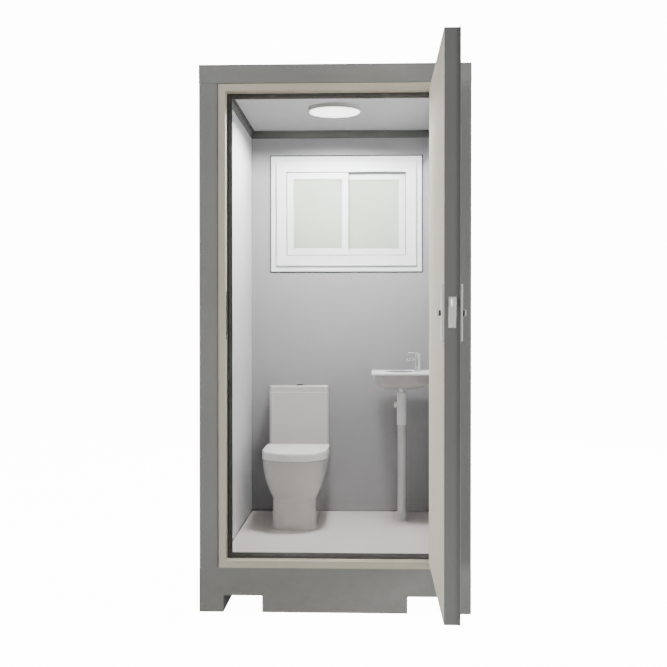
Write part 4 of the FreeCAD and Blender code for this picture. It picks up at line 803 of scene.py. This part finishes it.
def front_opening(node):
    """The foremost plane of a solid, and the opening in it as (x0, x1, z0, z1)."""
    corners = [v.co for v in nodes[node].data.vertices]
    front = min(co.y for co in corners)
    face = [co for co in corners if co.y < front + ON_PLANE]
    xs, zs = (sorted({round(co[axis], 4) for co in face}) for axis in (0, 2))
    return front, (xs[1], xs[-2], zs[1], zs[-2])


def flat_ring(bm, box, width, near, far):
    """A thin ring in the XZ plane, drawn from the near plane to the far one. The width grows inwards."""
    pane = upright_face(bm, box, near)
    ring = bmesh.ops.inset_region(bm, faces=[pane], thickness=width, use_boundary=True, use_even_offset=True)["faces"]
    bmesh.ops.delete(bm, geom=[pane], context="FACES_ONLY")
    made = bmesh.ops.extrude_face_region(bm, geom=ring, use_keep_orig=True)["geom"]
    bmesh.ops.translate(bm, verts=verts_in(made), vec=(0, far - near, 0))


bm = bmesh.new()
front, opening = front_opening("window_frame")
flat_ring(bm, opening, BRUSH, front + BRUSH_FROM, front + BRUSH_TO)
# Painted shadow: a dark ring round the casing stands for the casing's shadow on the wall.
low, high = min(solids_of("window_casings"), key=lambda box: box[0].y)
casing_shadow_outline = (low.x - CASING_SHADOW_RING, high.x + CASING_SHADOW_RING, low.z - CASING_SHADOW_RING, high.z + CASING_SHADOW_RING)
flat_ring(bm, casing_shadow_outline, CASING_SHADOW_RING, high.y - CASING_SHADOW_DEPTH, high.y)
bmesh.ops.recalc_face_normals(bm, faces=bm.faces)
piece("window_seals_painted_shadow", bm, "cabin", "seal_rubber", finish=pile_and_painted_shadow.material)
print("window opening", opening, "casing", round(low.x, 3), round(high.x, 3))

# %% Lip on the door stop
LIP, LIP_FROM, LIP_TO = 0.0055, 0.004, 0.02
bm = bmesh.new()
front, opening = front_opening("door_stop")
flat_ring(bm, opening, LIP, front + LIP_FROM, front + LIP_TO)
bmesh.ops.recalc_face_normals(bm, faces=bm.faces)
piece("door_stop_lip", bm, "cabin", "stop_dark")
print("stop opening", opening)

# %% Sealant
FLOOR_JOINT, FLOOR_HOLLOW = 0.006, 0.0022
BASIN_JOINT, BASIN_HOLLOW, BASIN_CORNER = 0.005, 0.0018, 0.044


def strip(bm, rows):
    """Faces between neighbouring rows of vertices."""
    for upper, lower in zip(rows, rows[1:]):
        for k in range(len(upper) - 1):
            bm.faces.new((upper[k], upper[k + 1], lower[k + 1], lower[k]))


low, high = (Vector(corner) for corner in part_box("ceiling_trim"))
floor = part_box("floor_vinyl")[1][2]
bm = bmesh.new()
rows = []
for out, up in ((0.0, FLOOR_JOINT), (FLOOR_HOLLOW, FLOOR_HOLLOW), (FLOOR_JOINT, 0.0)):
    x, y = high.x - out, high.y - out
    stations = ((-x, low.y), (-x, y), (x, y), (x, low.y))
    rows.append([bm.verts.new((sx, sy, floor + up)) for sx, sy in stations])
strip(bm, rows)
bmesh.ops.recalc_face_normals(bm, faces=bm.faces)
piece("floor_sealant", bm, "cabin", "lining_white", angle=60, finish=joint_grey.material)

low, high = (Vector(corner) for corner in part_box("basin"))
profile = ((0.0, BASIN_JOINT), (BASIN_HOLLOW, BASIN_HOLLOW), (BASIN_JOINT, 0.0), (0.0, 0.0))
bm = bmesh.new()
rows = []
for y in (low.y + BASIN_CORNER, high.y - BASIN_CORNER):
    rows.append([bm.verts.new((high.x - out, y, high.z + up)) for out, up in profile])
strip(bm, rows)
for row in rows:
    bm.faces.new(row)
bmesh.ops.recalc_face_normals(bm, faces=bm.faces)
piece("basin_sealant", bm, "cabin", "lining_white", angle=60)
print("sealant along three walls and the basin")

# %% [markdown]
# ## Turned rings and water
# The tap's foot ring and the aerator under its spout are spun from a short profile. The water's edge is found by rays
# from the middle of the bowl to its wall, all at one height.

# %% Tap rings
FOOT_RISE, FOOT_EDGE = 0.005, 0.0035
FOOT_LAND, FOOT_REACH = 0.002, 0.004
SPOUT_INSET = 0.011
TIP, TIP_FACE, TIP_BORE = 0.0065, 0.0055, 0.0042
TIP_TUCK, TIP_EDGE, TIP_LENGTH = 0.001, 0.003, 0.004
PROBE = 0.01


def turned(bm, x, y, profile, steps=32):
    """Spin (radius, height) points round an upright axis."""
    verts = [bm.verts.new((x + radius, y, z)) for radius, z in profile]
    edges = [bm.edges.new(pair) for pair in zip(verts, verts[1:])]
    bmesh.ops.spin(
        bm, geom=verts + edges, cent=(x, y, 0), axis=(0, 0, 1), angle=2 * math.pi, steps=steps, use_merge=True
    )
    bmesh.ops.remove_doubles(bm, verts=bm.verts, dist=MERGE / 2)
    bmesh.ops.recalc_face_normals(bm, faces=bm.faces)


low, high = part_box("tap_head")
x, y = (low[0] + high[0]) / 2, (low[1] + high[1]) / 2
stem = (high[0] - low[0]) / 2
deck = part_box("basin")[1][2]
bm = bmesh.new()
turned(bm, x, y, (
    (stem, deck + FOOT_RISE), (stem + FOOT_LAND, deck + FOOT_RISE),
    (stem + FOOT_REACH, deck + FOOT_EDGE), (stem + FOOT_REACH, deck),
))
piece("tap_foot_ring", bm, "cabin", "tap_chrome")

spout_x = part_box("tap_body")[0][0] + SPOUT_INSET
under = surface("tap_body", (spout_x, y, deck + PROBE), (0, 0, 1)).z
bm = bmesh.new()
turned(bm, spout_x, y, (
    (TIP, under + TIP_TUCK), (TIP, under - TIP_EDGE), (TIP_FACE, under - TIP_LENGTH),
    (TIP_BORE, under - TIP_LENGTH), (TIP_BORE, under + TIP_TUCK),
))
piece("tap_aerator", bm, "cabin", "tap_chrome")
print("tap rings at", round(x, 3), round(spout_x, 3), "spout underside", round(under, 3))

# %% Water in the bowl
WATER_BACK, WATER_HEIGHT = 0.22, 0.245
SHORE_POINTS, SHORE_TUCK = 32, 0.002

water = Finish("water", 0.03, Transmission_Weight=0.85, IOR=1.33)
water.colour(water.ramp(water.noise(30.0), (0.3, linear(226, 234, 236)), (0.7, linear(234, 240, 242))))
water.bump(water.noise(60.0), 0.02)
low, high = (Vector(corner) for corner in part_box("toilet_pan"))
centre = Vector(((low.x + high.x) / 2, low.y + WATER_BACK, low.z + WATER_HEIGHT))
bm = bmesh.new()
shore = []
for k in range(SHORE_POINTS):
    turn = 2 * math.pi * k / SHORE_POINTS
    way = Vector((math.cos(turn), math.sin(turn), 0))
    shore.append(bm.verts.new(surface("toilet_pan", centre, way) + way * SHORE_TUCK))
bm.faces.new(shore)
piece("bowl_water", bm, "cabin", "pane", finish=water.material)
print("water", round(centre.z, 3), "m above the ground")
